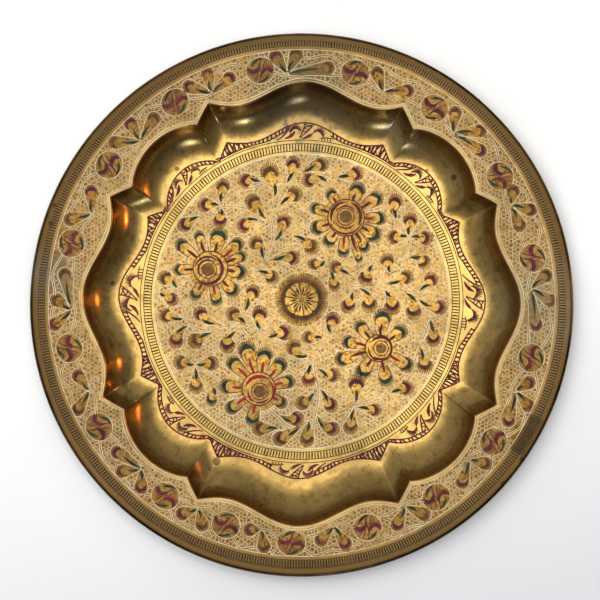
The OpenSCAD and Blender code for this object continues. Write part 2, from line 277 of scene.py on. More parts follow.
def aged_brass(name):
    """Pressed sheet brass: bright floor, dull rim, olive cove, dark rolled edge and plain underside.
    The rolled edge's dark side and the cove's dark top are painted shade, and the cove's bright foot carries
    a painted highlight.
    """
    material, tree, shader, place = new_material(name)
    zone = add(tree, "Attribute", {"attribute_name": "zone"}, "Fac")
    decorated = add(tree, "Attribute", {"attribute_name": "chased"}, "Fac")
    base = zone_polish_and_shade(tree, place, zone)
    # Chisel mottle: the ground between the net's lines was struck at many small angles, and the light and
    # shade of each tilted facet is painted into its colour.
    # The darkest facets get a further brown.
    facets = add(tree, "TexVoronoi", {"feature": "F1"}, "Color", Vector=place, Scale=grain(1.3))
    facet = add(tree, "SeparateColor", Color=facets)
    facet_light_and_shade = tint(tree, colour("#FFFDF4"), facet, "#C8A66E")
    base = add(tree, "Mix", {**COLOURS, "blend_type": "MULTIPLY"}, 2, i0=decorated, i6=base, i7=facet_light_and_shade)
    darkest_facets = add(tree, "Math", TIMES, i0=add(tree, "MapRange", Value=facet, i1=0.80, i2=0.92), i1=decorated)
    base = tint(tree, base, darkest_facets, "#5E4420", 0.40)
    layers = []
    for size, low, high, detail, seed, tone, strength in TARNISH:
        layers.append(speckle(tree, place, size, low, high, detail, seed))
        base = tint(tree, base, layers[-1], tone, strength)
    clouds, marks, _ = layers
    leaving = add(tree, "MapRange", Value=zone, i1=0.02, i2=0.10)
    reaching = add(tree, "MapRange", Value=zone, i1=0.44, i2=0.38)
    in_cove = add(tree, "Math", TIMES, i0=leaving, i1=reaching)
    for size, low, high, detail, seed, tone, strength in COVE_BLOTCHES:
        blotch = add(tree, "Math", TIMES, i0=speckle(tree, place, size, low, high, detail, seed), i1=in_cove)
        base = tint(tree, base, blotch, tone, strength)
    patchy = add(tree, "Math", TIMES_PLUS, i0=marks, i1=0.5, i2=0.75)
    # Dulled patches, partly real wear and partly painted shade, laid over the base.
    for angle, radius, size, tone, strength in DULL_AND_SHADED_AREAS:
        area = spot_mask(tree, place, angle, radius, size, soft=size * 0.75)
        base = tint(tree, base, add(tree, "Math", TIMES, i0=area, i1=patchy), tone, strength)
    base = tint(tree, base, patch_mask(tree, place, *TAPE), "#4A3822", 0.75)
    dark = 0.0
    for spot in SPOTS:
        dark = add(tree, "Math", {"operation": "MAXIMUM"}, i0=spot_mask(tree, place, *spot), i1=dark)
    base = tint(tree, base, dark, "#33281A", 0.7)
    # Rough where tarnish and chisel marks scatter the light. The cove kept its press shine.
    rough = add(tree, "MapRange", Value=clouds, i3=0.26, i4=0.36)
    rough = add(tree, "Math", TIMES_PLUS, i0=decorated, i1=0.10, i2=rough)
    rough = add(tree, "Math", TIMES_PLUS, i0=in_cove, i1=-0.04, i2=rough)
    # Relief: press waves, fine scratches and chisel facets.
    waves = add(tree, "TexNoise", out="Fac", Vector=place, Scale=grain(26), Detail=2.0)
    fine = add(tree, "TexNoise", out="Fac", Vector=place, Scale=grain(0.8), Detail=3.0)
    relief = add(tree, "Math", TIMES, i0=fine, i1=0.05)
    relief = add(tree, "Math", TIMES_PLUS, i0=waves, i1=1.2, i2=relief)
    cuts = add(tree, "Math", TIMES, i0=facet, i1=decorated)
    relief = add(tree, "Math", TIMES_PLUS, i0=cuts, i1=0.05, i2=relief)
    bump = add(tree, "Bump", Height=relief, Strength=0.55, Distance=0.001)
    fill(tree, shader, Base_Color=base, Metallic=1.0, Roughness=rough, Normal=bump)
    return material


BRASS = aged_brass("aged_brass")
print("brass recipe has", len(BRASS.node_tree.nodes), "nodes")

# %% [markdown]
# ## Lac
# Lac is a natural resin, coloured with pigment, melted into the cuts and scraped level. It is a little
# glossy where it is whole and dusty where it has crumbled, and brass shows through where it is thin. So
# each colour gets pigment clouds, a scatter of worn patches towards brass brown, and pits in its gloss.

# %% Lac colours
def lac(name, tone, pale, wear, gloss=0.42):
    """Scraped lac inlay: pigment clouds between two tones, and worn patches that show dull metal."""
    material, tree, shader, place = new_material(name)
    base = tint(tree, colour(tone), speckle(tree, place, 6, 0.35, 0.7, detail=4.0, seed=1.0), pale)
    worn = speckle(tree, place, 2.2, 0.55, 0.72, detail=4.0, seed=5.0)
    base = tint(tree, base, worn, "#9A7648", wear)
    base = tint(tree, base, add(tree, "Attribute", {"attribute_name": "fade"}, "Fac"), "#A07A44")
    rough = add(tree, "MapRange", Value=worn, i3=gloss, i4=0.75)
    pits = add(tree, "TexNoise", out="Fac", Vector=place, Scale=grain(0.5), Detail=3.0)
    bump = add(tree, "Bump", Height=pits, Strength=0.4, Distance=0.0001)
    fill(tree, shader, Base_Color=base, Roughness=rough, IOR=1.52, Specular_IOR_Level=0.25, Normal=bump)
    return material


LAC = {
    "maroon": lac("maroon_lac", "#3E0E1A", "#64222A", 0.2),
    "red": lac("crimson_lac", "#7E1020", "#98242E", 0.15),
    "wine": lac("wine_lac", "#561420", "#7A2428", 0.2),
    "green": lac("green_lac", "#0C1E1A", "#22402F", 0.12),
    "brown": lac("brown_lac", "#3E2412", "#6A4424", 0.25),
    "white": lac("white_lac", "#EAE0C4", "#C8B890", 0.3, gloss=0.6),
    "cream": lac("cream_lac", "#DACCA6", "#B4A47C", 0.35, gloss=0.6),
    "dark": lac("dark_lac", "#1A160C", "#3A2E18", 0.2),
}
# Two tones share another colour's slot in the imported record.
print("lac colours:", ", ".join(LAC))

# %% [markdown]
# ## The pressed sheet
# One press stroke makes the whole section, so the sheet is one flat grid of vertices wrapped into place:
# across the grid runs the angle round the tray, and up the grid runs the section, from the middle of the
# floor over the cove and rim, round the wire and back along the underside. The columns crowd at the sharp
# corners, so that the ridges come out crisp. Merging the grid's two ends and its poles closes the sheet.

# %% Columns round the tray
STRETCHES = ((0, VALLEY, 20, 1.0), (VALLEY, PEAK, 16, 1.0), (PEAK, CUSP, 12, 1.0), (CUSP, 45, 24, 1.6))
EIGHTH = [low + (high - low) * (i / steps) ** crowd for low, high, steps, crowd in STRETCHES
          for i in range(steps)]
QUARTER = EIGHTH + [45] + [90 - turn for turn in reversed(EIGHTH[1:])]
COLUMNS = [quarter + turn for quarter in (0, 90, 180, 270) for turn in QUARTER] + [360]
print(len(COLUMNS) - 1, "columns")

# %% The section at one angle
# FIELD_R is where the floor's net ends and NET_R where the rim's does. Zones shift over half a millimetre.
RIM_RING_CENTRE = Vector((0.0, 1.1))
FIELD_R = 82.4
NET_R = 139.4
COVE_STEPS = 22
TICK_BAND_R = 142.5
# The rolled edge gets painted shade where it turns below this many degrees.
SHADE_PAINTED_BELOW = 75


def cove_point(angle, climb, under=False):
    """A point on the cove: climb goes from 0 at the floor to 1 at the rim."""
    lean = COVE_TOP * climb
    across = math.sin(lean) / math.sin(COVE_TOP)
    up = (1 - math.cos(lean)) / (1 - math.cos(COVE_TOP))
    flat = floor_edge(angle).lerp(rim_edge(angle), across)
    height = SHEET_T + (RIM_Z - SHEET_T) * up
    if under:
        flat = flat + polar(1, turned(angle)) * SHEET_T * math.sin(lean)
        height -= SHEET_T * math.cos(lean)
    return flat, height


def bead_point(angle, radius, swing):
    """A point on the rolled edge: swing turns round the wire, from 0 at the tray's outermost."""
    lean = math.radians(swing)
    return polar(BEAD_AT + radius * math.cos(lean), turned(angle)), BEAD_Z + radius * math.sin(lean)


def section(angle):
    """The sheet's section as rows of (flat point, height, zone, chased)."""
    way = turned(angle)
    under = RIM_Z - SHEET_T
    rows = [(FLOOR_CENTRE + polar(radius, way), SHEET_T, ZONE_FLOOR, float(radius < FIELD_R))
            for radius in (0, 10, 25, 40, 55, 70, FIELD_R - 0.2, FIELD_R + 0.3, 86, 89.5)]
    # Up the cove the zone climbs to 0.40 just under the rim, and the tone there is painted shade.
    for step in range(COVE_STEPS):
        climb = 0.965 * step / (COVE_STEPS - 1)
        rows.append((*cove_point(angle, climb), 0.02 + min(climb * 1.15, 1.0) * 0.38, 0.0))
    # The well's edge is rounded over, then comes the rim with its net and its two bands.
    for out, drop, zone in ((0.15, 0.14, 0.46), (0.7, 0, 0.47), (2.1, 0, ZONE_RIM)):
        rows.append((rim_edge(angle, out), RIM_Z - drop, zone, 0.0))
    inner, outer = rim_edge(angle, 2.6), RIM_RING_CENTRE + polar(NET_R - 0.2, way)
    rows += [(inner.lerp(outer, share), RIM_Z, ZONE_RIM + 0.05 * share, 1.0) for share in (0, 0.35, 0.7, 1)]
    for radius, zone in ((NET_R + 0.3, 0.57), (TICK_BAND_R, 0.62)):
        rows.append((RIM_RING_CENTRE + polar(radius, way), RIM_Z, zone, 0.0))
    for swing in range(112, -191, -14):
        # Where it turns below that angle the rolled edge takes the near-black tone, painted shade on its
        # turned-away side.
        rows.append((*bead_point(angle, BEAD_R, swing), ZONE_BEAD if swing < SHADE_PAINTED_BELOW else 0.66, 0.0))
    # From here on the section runs back along the underside.
    back = [bead_point(angle, WIRE_ROOM, swing) for swing in range(-190, 111, 25)]
    back += [(polar(BEAD_AT - 2.4, way), under), (rim_edge(angle, 9), under)]
    back += [cove_point(angle, step / 14, under=True) for step in range(14, -1, -1)]
    back += [(FLOOR_CENTRE.lerp(floor_edge(angle), share), 0.0) for share in (0.8, 0.5, 0.2, 0)]
    return rows + [(*place, ZONE_UNDER, 0.0) for place in back]


print(len(section(0)), "rows in the section")

# %% Wrap a grid into the sheet
def finish_piece(name, bm, material, replaced, smooth=False):
    """Turns a finished bmesh, drawn in millimetres, into a piece of the tray in metres."""
    bmesh.ops.scale(bm, vec=(MM, MM, MM), verts=bm.verts)
    mesh = bpy.data.meshes.new(name)
    bm.to_mesh(mesh)
    bm.free()
    mesh.materials.append(material)
    if smooth:
        mesh.shade_smooth()
    piece = bpy.data.objects.new(name, mesh)
    bpy.context.scene.collection.objects.link(piece)
    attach(piece, "root")
    if replaced:
        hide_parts(*replaced)
    mesh.calc_loop_triangles()
    print(name, len(mesh.loop_triangles), "triangles")


def pressed_sheet():
    """The whole sheet from one wrapped grid."""
    sections = [section(angle) for angle in COLUMNS]
    bm = bmesh.new()
    zone = bm.verts.layers.float.new("zone")
    chased = bm.verts.layers.float.new("chased")
    columns, rows = len(COLUMNS) - 1, len(sections[0]) - 1
    bmesh.ops.create_grid(bm, x_segments=columns, y_segments=rows, size=1.0)
    for vert in bm.verts:
        column = round((vert.co.x + 1) / 2 * columns)
        row = round((vert.co.y + 1) / 2 * rows)
        flat, height, vert[zone], vert[chased] = sections[column][row]
        vert.co = (flat.x, flat.y, height)
    bmesh.ops.remove_doubles(bm, verts=bm.verts, dist=0.001)
    bmesh.ops.recalc_face_normals(bm, faces=bm.faces)
    finish_piece("pressed_sheet", bm, BRASS, ["tray_sheet"], smooth=True)


pressed_sheet()

# %% [markdown]
# ## The wire in the edge
# The rolled edge keeps its roundness because it is closed over an iron wire. Only a sliver of it shows, in
# the seam under the rim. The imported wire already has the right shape, so it only needs its finish: dull
# drawn iron with rust where the wet has crept in.

# %% Drawn iron wire
def drawn_iron(name):
    """Dull drawn iron wire, rusty in patches."""
    material, tree, shader, place = new_material(name)
    rust = speckle(tree, place, 3, 0.42, 0.62, detail=5.0)
    fill(tree, shader, Base_Color=tint(tree, colour("#6A6560"), rust, "#6B3E22"),
         Metallic=add(tree, "Math", MINUS, i0=0.95, i1=rust),
         Roughness=add(tree, "Math", TIMES_PLUS, i0=rust, i1=0.35, i2=0.45))
    return material


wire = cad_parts["rim_wire"]
for material_slot in wire.material_slots:
    material_slot.material = drawn_iron("drawn_iron")
print("wire finished")

# %% [markdown]
# ## Drawing with a graver
# Every mark of the ornament is one of a few strokes, cut with a graver: a stroke that swells and tapers, a
# crescent, and a closed line. Each starts as a small flat grid that is bent to its path. All the marks of
# one colour gather in one flat mesh, which a single solidify then gives the thickness of the lac.

# %% Strokes
# Every fill starts a little below the brass and stands as proud as a scraped fill does.
LAC_SINK = 0.05
LAC_T = 0.12
# Crossing strips of one colour lie at slightly different heights, so that none coincide.
LEVELS = itertools.cycle([0.004 * step for step in range(9)])


def new_marks():
    """An empty mesh for marks, with a number per vertex that says how far the lac has thinned out."""
    bm = bmesh.new()
    bm.verts.layers.float.new("fade")
    return bm


def shaped(bm, place, across=8, thin=0.0):
    """A strip of faces: place turns (share along, side) into a flat point. No two strips share a level."""
    level = next(LEVELS)
    fade = bm.verts.layers.float["fade"]
    for vert in bmesh.ops.create_grid(bm, x_segments=across, y_segments=1, size=1.0)["verts"]:
        share = (vert.co.x + 1) / 2
        spot = place(share, vert.co.y)
        vert[fade] = thin * share
        vert.co = (spot[0], spot[1], level)


print("lac fills are", LAC_T, "mm thick and start", LAC_SINK, "mm down")

# %% Curved strokes
def bend_at(points, t):
    """A point on the Bezier curve through the ends of a short list of control points."""
    points = [Vector(p) for p in points]
    while len(points) > 1:
        points = [a.lerp(b, t) for a, b in zip(points, points[1:])]
    return points[0]


def width_at(widths, t):
    """Width at a share of the stroke, smoothed between the listed widths."""
    place = t * (len(widths) - 1)
    low = min(int(place), len(widths) - 2)
    part = place - low
    part = part * part * (3 - 2 * part)
    return widths[low] * (1 - part) + widths[low + 1] * part


def stroke(bm, points, widths, steps=8, thin=0.0):
    """A graver's stroke along a curve."""
    def place(t, way):
        ahead = bend_at(points, min(t + 0.02, 1)) - bend_at(points, max(t - 0.02, 0))
        side = Vector((-ahead.y, ahead.x)).normalized()
        return bend_at(points, t) + side * way * width_at(widths, t) / 2
    shaped(bm, place, steps, thin)


print("a leaf is", width_at([0.2, 1.9, 1.5, 0.2], 1 / 3), "mm wide a third of the way along")

# %% Rings and closed lines
def ring(bm, centre, r1, r2, steps):
    """A flat ring between two radii."""
    shaped(bm, lambda t, way: Vector(centre) + polar(r1 if way < 0 else r2, 360 * t), steps)


def closed_line(bm, outline, width, keep=None):
    """A line of this width along a closed outline. keep says which of its segments are cut."""
    count = len(outline)
    level = next(LEVELS)
    for i, (here, there) in enumerate(zip(outline, outline[1:] + outline[:1])):
        if keep is None or keep((here + there) / 2):
            before, after = outline[i - 1], outline[(i + 2) % count]
            for vert in bmesh.ops.create_grid(bm, x_segments=1, y_segments=1, size=1.0)["verts"]:
                point = here if vert.co.x < 0 else there
                ahead = (there - before) if vert.co.x < 0 else (after - here)
                side = Vector((-ahead.y, ahead.x)).normalized()
                spot = point + side * vert.co.y * width / 2
                vert.co = (spot.x, spot.y, level)


print("rings and lines ready")

# %% Caps and their hatching
def crescent(bm, centre, facing, size, spread=116, notch=0.46):
    """A bud's cap: a crescent that bulges the way it faces, with two horns behind."""
    def place(t, way):
        across = 2 * t - 1
        full = max(math.cos(math.radians(90 * across)), 0.0)
        inner = size * (notch + 0.36 * (1 - full) ** 1.3 + 0.05 * math.sin(5 * across + centre[1]))
        outer = size * (0.82 + 0.30 * full ** 0.8 + 0.05 * math.sin(7 * across + centre[0]))
        lean = math.radians(facing + across * spread)
        radius = inner if way < 0 else outer
        return centre[0] + radius * math.cos(lean), centre[1] + radius * math.sin(lean)
    shaped(bm, place, 12)


def hatching(bm, centre, facing, size, count=17, reach=2.1, fan=88):
    """Fine strokes that run out from a cap and fade."""
    for k in range(count):
        swing = -fan + 2 * fan * k / (count - 1)
        way = toward(facing + swing)
        far = size * (reach - 0.75 * abs(swing / fan) ** 1.2 + 0.13 * math.sin(k * 2.4 + centre[0]))
        near = size * 1.6 * math.radians(fan) / count
        ends = [Vector(centre) + way * size * 0.8, Vector(centre) + way * far]
        stroke(bm, ends, [near, near * 1.2, 0.12], steps=3, thin=0.5)


print("caps ready")

# %% Laying the lac in
def inlay(name, bm, surface, tone, replaced, lift=0.0):
    """Lays the flat marks on a face of the sheet and gives them the lac's thickness."""
    bmesh.ops.remove_doubles(bm, verts=bm.verts, dist=0.004)
    bmesh.ops.dissolve_degenerate(bm, edges=bm.edges, dist=0.002)
    for face in bm.faces:
        face.normal_update()
    down = [face for face in bm.faces if face.normal.z < 0]
    bmesh.ops.reverse_faces(bm, faces=down)
    bmesh.ops.solidify(bm, geom=bm.faces[:], thickness=LAC_T)
    low = min(vert.co.z for vert in bm.verts)
    bmesh.ops.translate(bm, verts=bm.verts, vec=(0, 0, surface - LAC_SINK - low + lift))
    finish_piece(name, bm, LAC[tone], replaced)


print("inlay ready for", len(LAC), "colours")

# %% [markdown]
# ## Rings of ticks and rules
# Next to the rolled edge runs a band of some six hundred punched ticks between plain rules, and round the
# floor runs a ladder of some three hundred rungs. One mark is drawn and then spun round the centre; noise
# then pushes each mark a little, because a hand with a hammer never spaces them evenly.

# %% Ring helper
def spun_marks(centre, r1, r2, width, count, slant=0.0, jitter=0.25):
    """A ring of radial marks, each pushed a little off its place."""
    bm = new_marks()
    stroke(bm, [(-slant, r1), (slant, r2)], [width * 0.8, width, width * 0.8], steps=2)
    bmesh.ops.spin(bm, geom=bm.verts[:] + bm.edges[:] + bm.faces[:], cent=(0, 0, 0), axis=(0, 0, 1),
                   angle=2 * math.pi * (count - 1) / count, steps=count - 1, use_duplicate=True)
    for vert in bm.verts:
        far = vert.co.length
        angle = math.atan2(vert.co.y, vert.co.x)
        push = noise.noise(Vector((angle * 60, far * 0.25, 3.0))) * jitter
        vert.co.x += -math.sin(angle) * push
        vert.co.y += math.cos(angle) * push
    bmesh.ops.translate(bm, verts=bm.verts, vec=(centre[0], centre[1], 0))
    return bm


# %% Ticks and rules
TICKS, TICK_T = 600, 0.85
RUNGS, RUNG_T = 325, 0.74
bm = spun_marks(RIM_RING_CENTRE, 141.7, 145.3, TICK_T, TICKS)
inlay("rim_ticks", bm, RIM_Z, "dark", ["rim_tick_lac"])
bm = new_marks()
for low, high in ((145.35, 145.8), (146.1, 146.4), (141.3, 141.65)):
    ring(bm, RIM_RING_CENTRE, low, high, 180)
inlay("rim_rules", bm, RIM_Z, "dark", ["rim_line_lac"])
bm = spun_marks(FLOOR_CENTRE, 84.2, 88.1, RUNG_T, RUNGS, slant=0.1)
for low, high in ((83.9, 84.3), (88.0, 88.4)):
    ring(bm, FLOOR_CENTRE, low, high, 180)
inlay("floor_ladder", bm, SHEET_T, "dark", ["floor_ladder_lac"])
bm = new_marks()
ring(bm, FLOOR_CENTRE, 89.9, 90.35, 180)
inlay("floor_ring", bm, SHEET_T, "maroon", ["floor_ring_lac"])

# %% [markdown]
# ## Where everything sits
# The chaser pricks out the big flowers first, then runs stems between them and hangs buds from the stems.
# Round every motif a teardrop of plain metal is left, and the white net fills the rest. So each motif is
# noted here with its centre, the way it faces and its leaf, and its plain teardrop is worked out from them.
# Places are millimetres from the middle of the floor, to the right and towards the back.

# %% The four large flowers
# Centre, disc radius, ring centre and radius, swirls (start, end, radius, width), then the petal caps.
FLOWERS = (
    ((-52.4, 17.8), 3.7, (1.5, 0.6), 9.7,
     ((40, 230, 7.9, 1.5), (280, 410, 7.2, 1.0), (230, 400, 5.6, 0.5), (10, 120, 8.6, 0.9)),
     ((-66.5, 31, 1.0), (-57, 36, 0.8), (-46.5, 35.5, 1.3), (-36.5, 31.5, 1.0), (-34, 25, 0.8),
      (-35.5, 16.5, 1.1), (-39.3, 7, 1.1), (-47.7, 1.5, 0.9), (-59, 4.6, 0.9), (-68, 17.8, 0.9))),
    ((24.6, 47.4), 3.5, (0.2, -0.6), 10.2,
     ((250, 360, 8.2, 1.5), (20, 125, 8.4, 1.6), (130, 235, 6.6, 0.5), (110, 250, 9.6, 0.8),
      (300, 420, 5.9, 0.6)),
     ((16.8, 59.3, 0.9), (30.8, 61.5, 1.2), (40.8, 57, 1.1), (42.7, 46.5, 1.0), (39.6, 37.8, 1.2),
      (34.6, 31.2, 0.9), (31.8, 24.3, 0.6), (23.3, 28.7, 0.9), (15.8, 34.6, 1.0), (9.6, 41.5, 1.1),
      (8.3, 51.8, 0.9))),
    ((44.3, -26.1), 2.9, (-1.3, 0.0), 7.5,
     ((305, 420, 6.3, 1.6), (195, 275, 7.0, 0.8), (145, 220, 6.2, 1.1), (20, 150, 5.8, 0.6)),
     ((33.3, -14.6, 1.0), (45.2, -9.9, 1.3), (54.3, -17.4, 1.1), (57.7, -34.9, 1.1), (46.8, -42.4, 1.1),
      (34.9, -38, 1.2), (23.3, -32, 1.1), (26.8, -22.7, 1.0))),
    ((-23.4, -50.2), 3.4, (-0.6, 1.5), 9.3,
     ((290, 395, 8.4, 1.8), (205, 275, 6.6, 1.1), (40, 130, 7.8, 1.1), (130, 205, 6.2, 0.7)),
     ((-37.4, -34.9, 1.1), (-30.3, -28, 1.3), (-20.9, -31, 1.2), (-12.8, -36, 1.1), (-8.1, -44.9, 1.0),
      (-12.1, -56.1, 0.9), (-27.4, -64.9, 1.0), (-38.4, -58.9, 1.0), (-41.2, -47.4, 1.1))))
CAP = 3.3
print(len(FLOWERS), "large flowers")

# %% The buds
# Cap x and y, the way it faces in degrees from the right, leaf start and end, tone, size.
M, B, G = "maroon", "brown", "green"
BUDS = (
    (-30, 67.5, 175, -28, 69, -22.5, 67, M, 1.0), (-17.5, 70.5, 100, -15.2, 65, -15.2, 58.5, B, 1.25),
    (-5, 75.5, 80, -4.5, 71.5, -8, 66, M, 1.0), (9.5, 76, 20, 6.5, 76, -2, 70.5, B, 1.0),
    (-44, 63, 90, -44.5, 60, -45, 55, B, 1.0), (-52.5, 54, 180, -50, 54, -46, 53.7, M, 1.0),
    (-45.5, 46.5, 270, -45, 49, -45, 52, M, 1.0), (-64, 43.5, 205, -62, 45, -57, 47.5, M, 1.0),
    (-26, 54.5, 135, -23.5, 52, -19.7, 45.5, B, 1.1), (-31, 43, 200, -30, 45.5, -24, 45.5, M, 1.0),
    (-5.5, 59, 30, -7, 58, -14.5, 51, B, 1.1), (-10.5, 43.5, 65, -11.5, 39.5, -15, 33.5, M, 1.0),
    (-24.5, 31.5, 130, -22, 30, -21, 23.5, B, 1.0), (-6.5, 24.5, 0, -10, 25.5, -19, 22.5, M, 1.0),
    (-18, 14.5, -40, -19, 15.5, -24.5, 16.7, B, 1.0), (-28, 4, 55, -30, 1, -32.5, -8, M, 1.0),
    (-75, 12.5, 150, -71.5, 11.5, -69.5, 8, B, 1.0), (-73.5, 2, -30, -77, 4, -79.5, 5, M, 0.9),
    (4, 31.5, -35, 1.5, 34, -5, 37, B, 1.1), (5.5, 68, 190, 9.5, 69.5, 14, 66.5, M, 1.0),
    (29, 71, 15, 26, 69.7, 20, 69.2, M, 1.0), (52, 54.5, 80, 51, 51, 52.5, 46, M, 1.0),
    (60.5, 44, 90, 60.2, 41, 60, 37, M, 1.0), (53, 36, 180, 55.5, 36, 59, 36, B, 1.0),
    (67.5, 35.5, 0, 65, 35.7, 61, 36, M, 1.0), (67, 23, -35, 66, 25.2, 60, 24.8, B, 1.0),
    (48, 21.5, 95, 49.2, 19.5, 49, 16, B, 1.0), (36.5, 14.5, 240, 38.5, 17.5, 39.7, 20.7, M, 1.0),
    (8, 21, 185, 10.5, 20.5, 12.7, 23, B, 0.8), (20, 18.5, 145, 22, 17, 26.5, 14.8, B, 0.9),
    (18, 10, -75, 17.3, 12.5, 15.8, 16.8, B, 0.8), (57, 13, 20, 54.5, 11.7, 47, 10.2, B, 1.0),
    (71.5, 11, 60, 71, 9, 65.5, 6, M, 1.0), (26.5, -1, -110, 28.7, 1.5, 28.5, 5.5, M, 1.0),
    (37.5, 0, -80, 37.5, 3.5, 32, 7.5, B, 1.1), (50.5, -1, -85, 49.5, 3.5, 46.5, 6.5, M, 1.1),
    (62.5, -4, -90, 63, 0.5, 57, 5.5, B, 1.1), (75.5, -3, -10, 71, -2, 65, 1.5, M, 1.0),
    (17, -11.5, 75, 15, -13, 16.5, -17.7, M, 1.0), (5, -20, 180, 8, -20.3, 11.5, -20.5, B, 0.9),
    (-3.5, -27, 130, -3, -30, 5.5, -30.5, B, 1.1), (4, -42, -95, 4, -40, 5.7, -35, M, 1.0),
    (16, -41, -5, 14, -42, 8.5, -37, B, 1.0), (30.5, -47.5, 90, 30.2, -50, 30, -57, M, 1.2),
    (39.5, -60.5, 0, 37, -60.3, 31, -59, M, 0.9), (27.5, -68.5, 265, 28, -66, 29.5, -59.5, B, 1.0),
    (57, -48.5, 5, 55, -49.7, 50, -51, M, 1.0), (73.5, -19.5, -90, 74, -16.5, 72, -9.5, M, 1.0),
    (68.5, -34, -80, 67.3, -32, 66, -25, B, 1.1), (2, -56, 200, 4.5, -55.5, 7.2, -51, B, 1.0),
    (15, -57, -30, 14, -55, 10.5, -49, M, 1.0), (15.5, -70.5, -20, 12.5, -70, 8.5, -63.5, M, 1.0),
    (3, -75.5, -95, 3, -71.5, 4.2, -66.5, B, 1.0), (-4.5, -65.5, 0, -6.5, -66.5, -12, -63.5, M, 1.0),
    (-10.5, -76, 200, -7, -74, 1, -68.5, M, 1.0), (-22, -71, 180, -19, -71, -13, -71, B, 1.0),
    (-74.5, -8, 175, -72, -9, -66, -9.5, B, 1.0), (-70, -20.5, -95, -69, -17.5, -63.5, -13.5, M, 1.0),
    (-55.5, -8, 130, -54.5, -10.5, -43.5, -13.7, M, 1.0), (-57.5, -21, 210, -56, -20, -50, -17.5, B, 1.1),
    (-41.5, -22.5, -90, -42, -20, -36.5, -16, M, 1.1), (-37, -8, 140, -35, -9.5, -31, -12.7, B, 1.0),
    (-23.5, -8.5, 90, -24.5, -11.5, -23, -16, M, 1.1), (-11.5, -17.5, 5, -14, -18, -19, -19.7, M, 1.1),
    (-66, -34, 180, -63.5, -34.5, -60, -35, B, 1.0), (-52, -34.5, 0, -54.5, -34.6, -58.5, -35, M, 1.0),
    (-59, -46, 270, -59.2, -43.5, -59.5, -36.5, B, 1.0), (-50, -54, 250, -49.5, -49, -48.5, -52.5, G, 0.8))
STEMS = (
    ((-15, 58), (-17, 48), (-16, 38), (-17.5, 30), (-21, 22), (-28, 17)), ((-8, 66), (-13, 62), (-15, 58)),
    ((-45, 53), (-36, 53), (-29, 51), (-19.7, 45.5)), ((-20, 66), (-26, 64), (-34, 62), (-41, 57)),
    ((9, 69), (16, 63), (22, 59)), ((60, 35), (58, 25), (53, 15), (48, 10), (40, 9), (32, 8.5), (24, 8)),
    ((66, 6), (57, 6), (48, 10)), ((72, -9), (66, 1), (57, 5)), ((66, -25), (70, -15), (72, -9)),
    ((26, 15), (36, 12), (40, 9)), ((48, -51), (40, -54), (30, -58)), ((66, -25), (60, -40), (50, -51)),
    ((12, -22), (9, -30), (7, -36), (9, -46), (9, -56), (7, -66), (6, -78)),
    ((-19, -20), (-8, -24), (4, -31), (9, -30)), ((-20, -59), (-12, -66), (-7, -72)),
    ((-20, -59), (-24, -66), (-30, -71), (-36, -73)), ((-32, -8), (-34, -14), (-30, -20), (-27, -28)),
    ((-63, -13), (-53, -16), (-43, -14), (-33, -13), (-23, -17), (-19, -20)),
    ((-59, -35), (-52, -40), (-46, -44), (-40, -47)), ((-66, 10), (-72, 7), (-79, 5)),
    ((-64, -10), (-66, -4), (-62, 4)))
print(len(BUDS), "buds on", len(STEMS), "stems")

# %% Plain teardrops round the motifs
ROSETTE_AT = (0.0, 1.2)


def circle(centre, radius, count):
    """Points round a circle."""
    return [Vector(centre) + polar(radius, 360 * k / count) for k in range(count)]


def hull(points):
    """The outline of the smallest convex shape round the points."""
    return [points[k] for k in convex_hull_2d(points)]


def teardrop(at, way, size, near, far):
    """Plain metal round a bud and its leaf: a leaf shape from the stem that swells round the cap."""
    at, near, far = Vector(at), Vector(near), Vector(far)
    full = 1.36 * CAP * size
    spine = [far, near.lerp(far, 0.35), near, at + toward(way) * 0.35 * CAP * size]
    left, right = [], []
    for k in range(9):
        t = k / 8
        ahead = bend_at(spine, min(t + 0.05, 1)) - bend_at(spine, max(t - 0.05, 0))
        side = Vector((-ahead.y, ahead.x)).normalized() * width_at([0.5, 1.7, 3.1, full], t)
        left.append(bend_at(spine, t) + side)
        right.append(bend_at(spine, t) - side)
    last = spine[-1]
    start = math.atan2((left[-1] - last).y, (left[-1] - last).x)
    tip = [last + full * Vector((math.cos(start - math.pi * k / 7), math.sin(start - math.pi * k / 7)))
           * (1 + 0.18 * math.sin(math.pi * k / 7)) for k in range(1, 7)]
    return left + tip + right[::-1]


def ribbon(points, width, steps=14):
    """The closed outline of a narrow band that runs along a smooth curve through the points."""
    spots = []
    pins = [Vector(p) for p in points]
    pins = [2 * pins[0] - pins[1]] + pins + [2 * pins[-1] - pins[-2]]
    for a, b, c, d in zip(pins, pins[1:], pins[2:], pins[3:]):
        for k in range(steps // 2):
            t = k / (steps // 2)
            spots.append(0.5 * (2 * b + (c - a) * t + (2 * a - 5 * b + 4 * c - d) * t * t
                                + (3 * b - 3 * c + d - a) * t ** 3))
    spots.append(pins[-2])
    left, right = [], []
    for before, here, after in zip(spots[:1] + spots, spots, spots[1:] + spots[-1:]):
        ahead = after - before
        side = Vector((-ahead.y, ahead.x)).normalized() * width / 2
        left.append(here + side)
        right.append(here - side)
    return left + right[::-1]


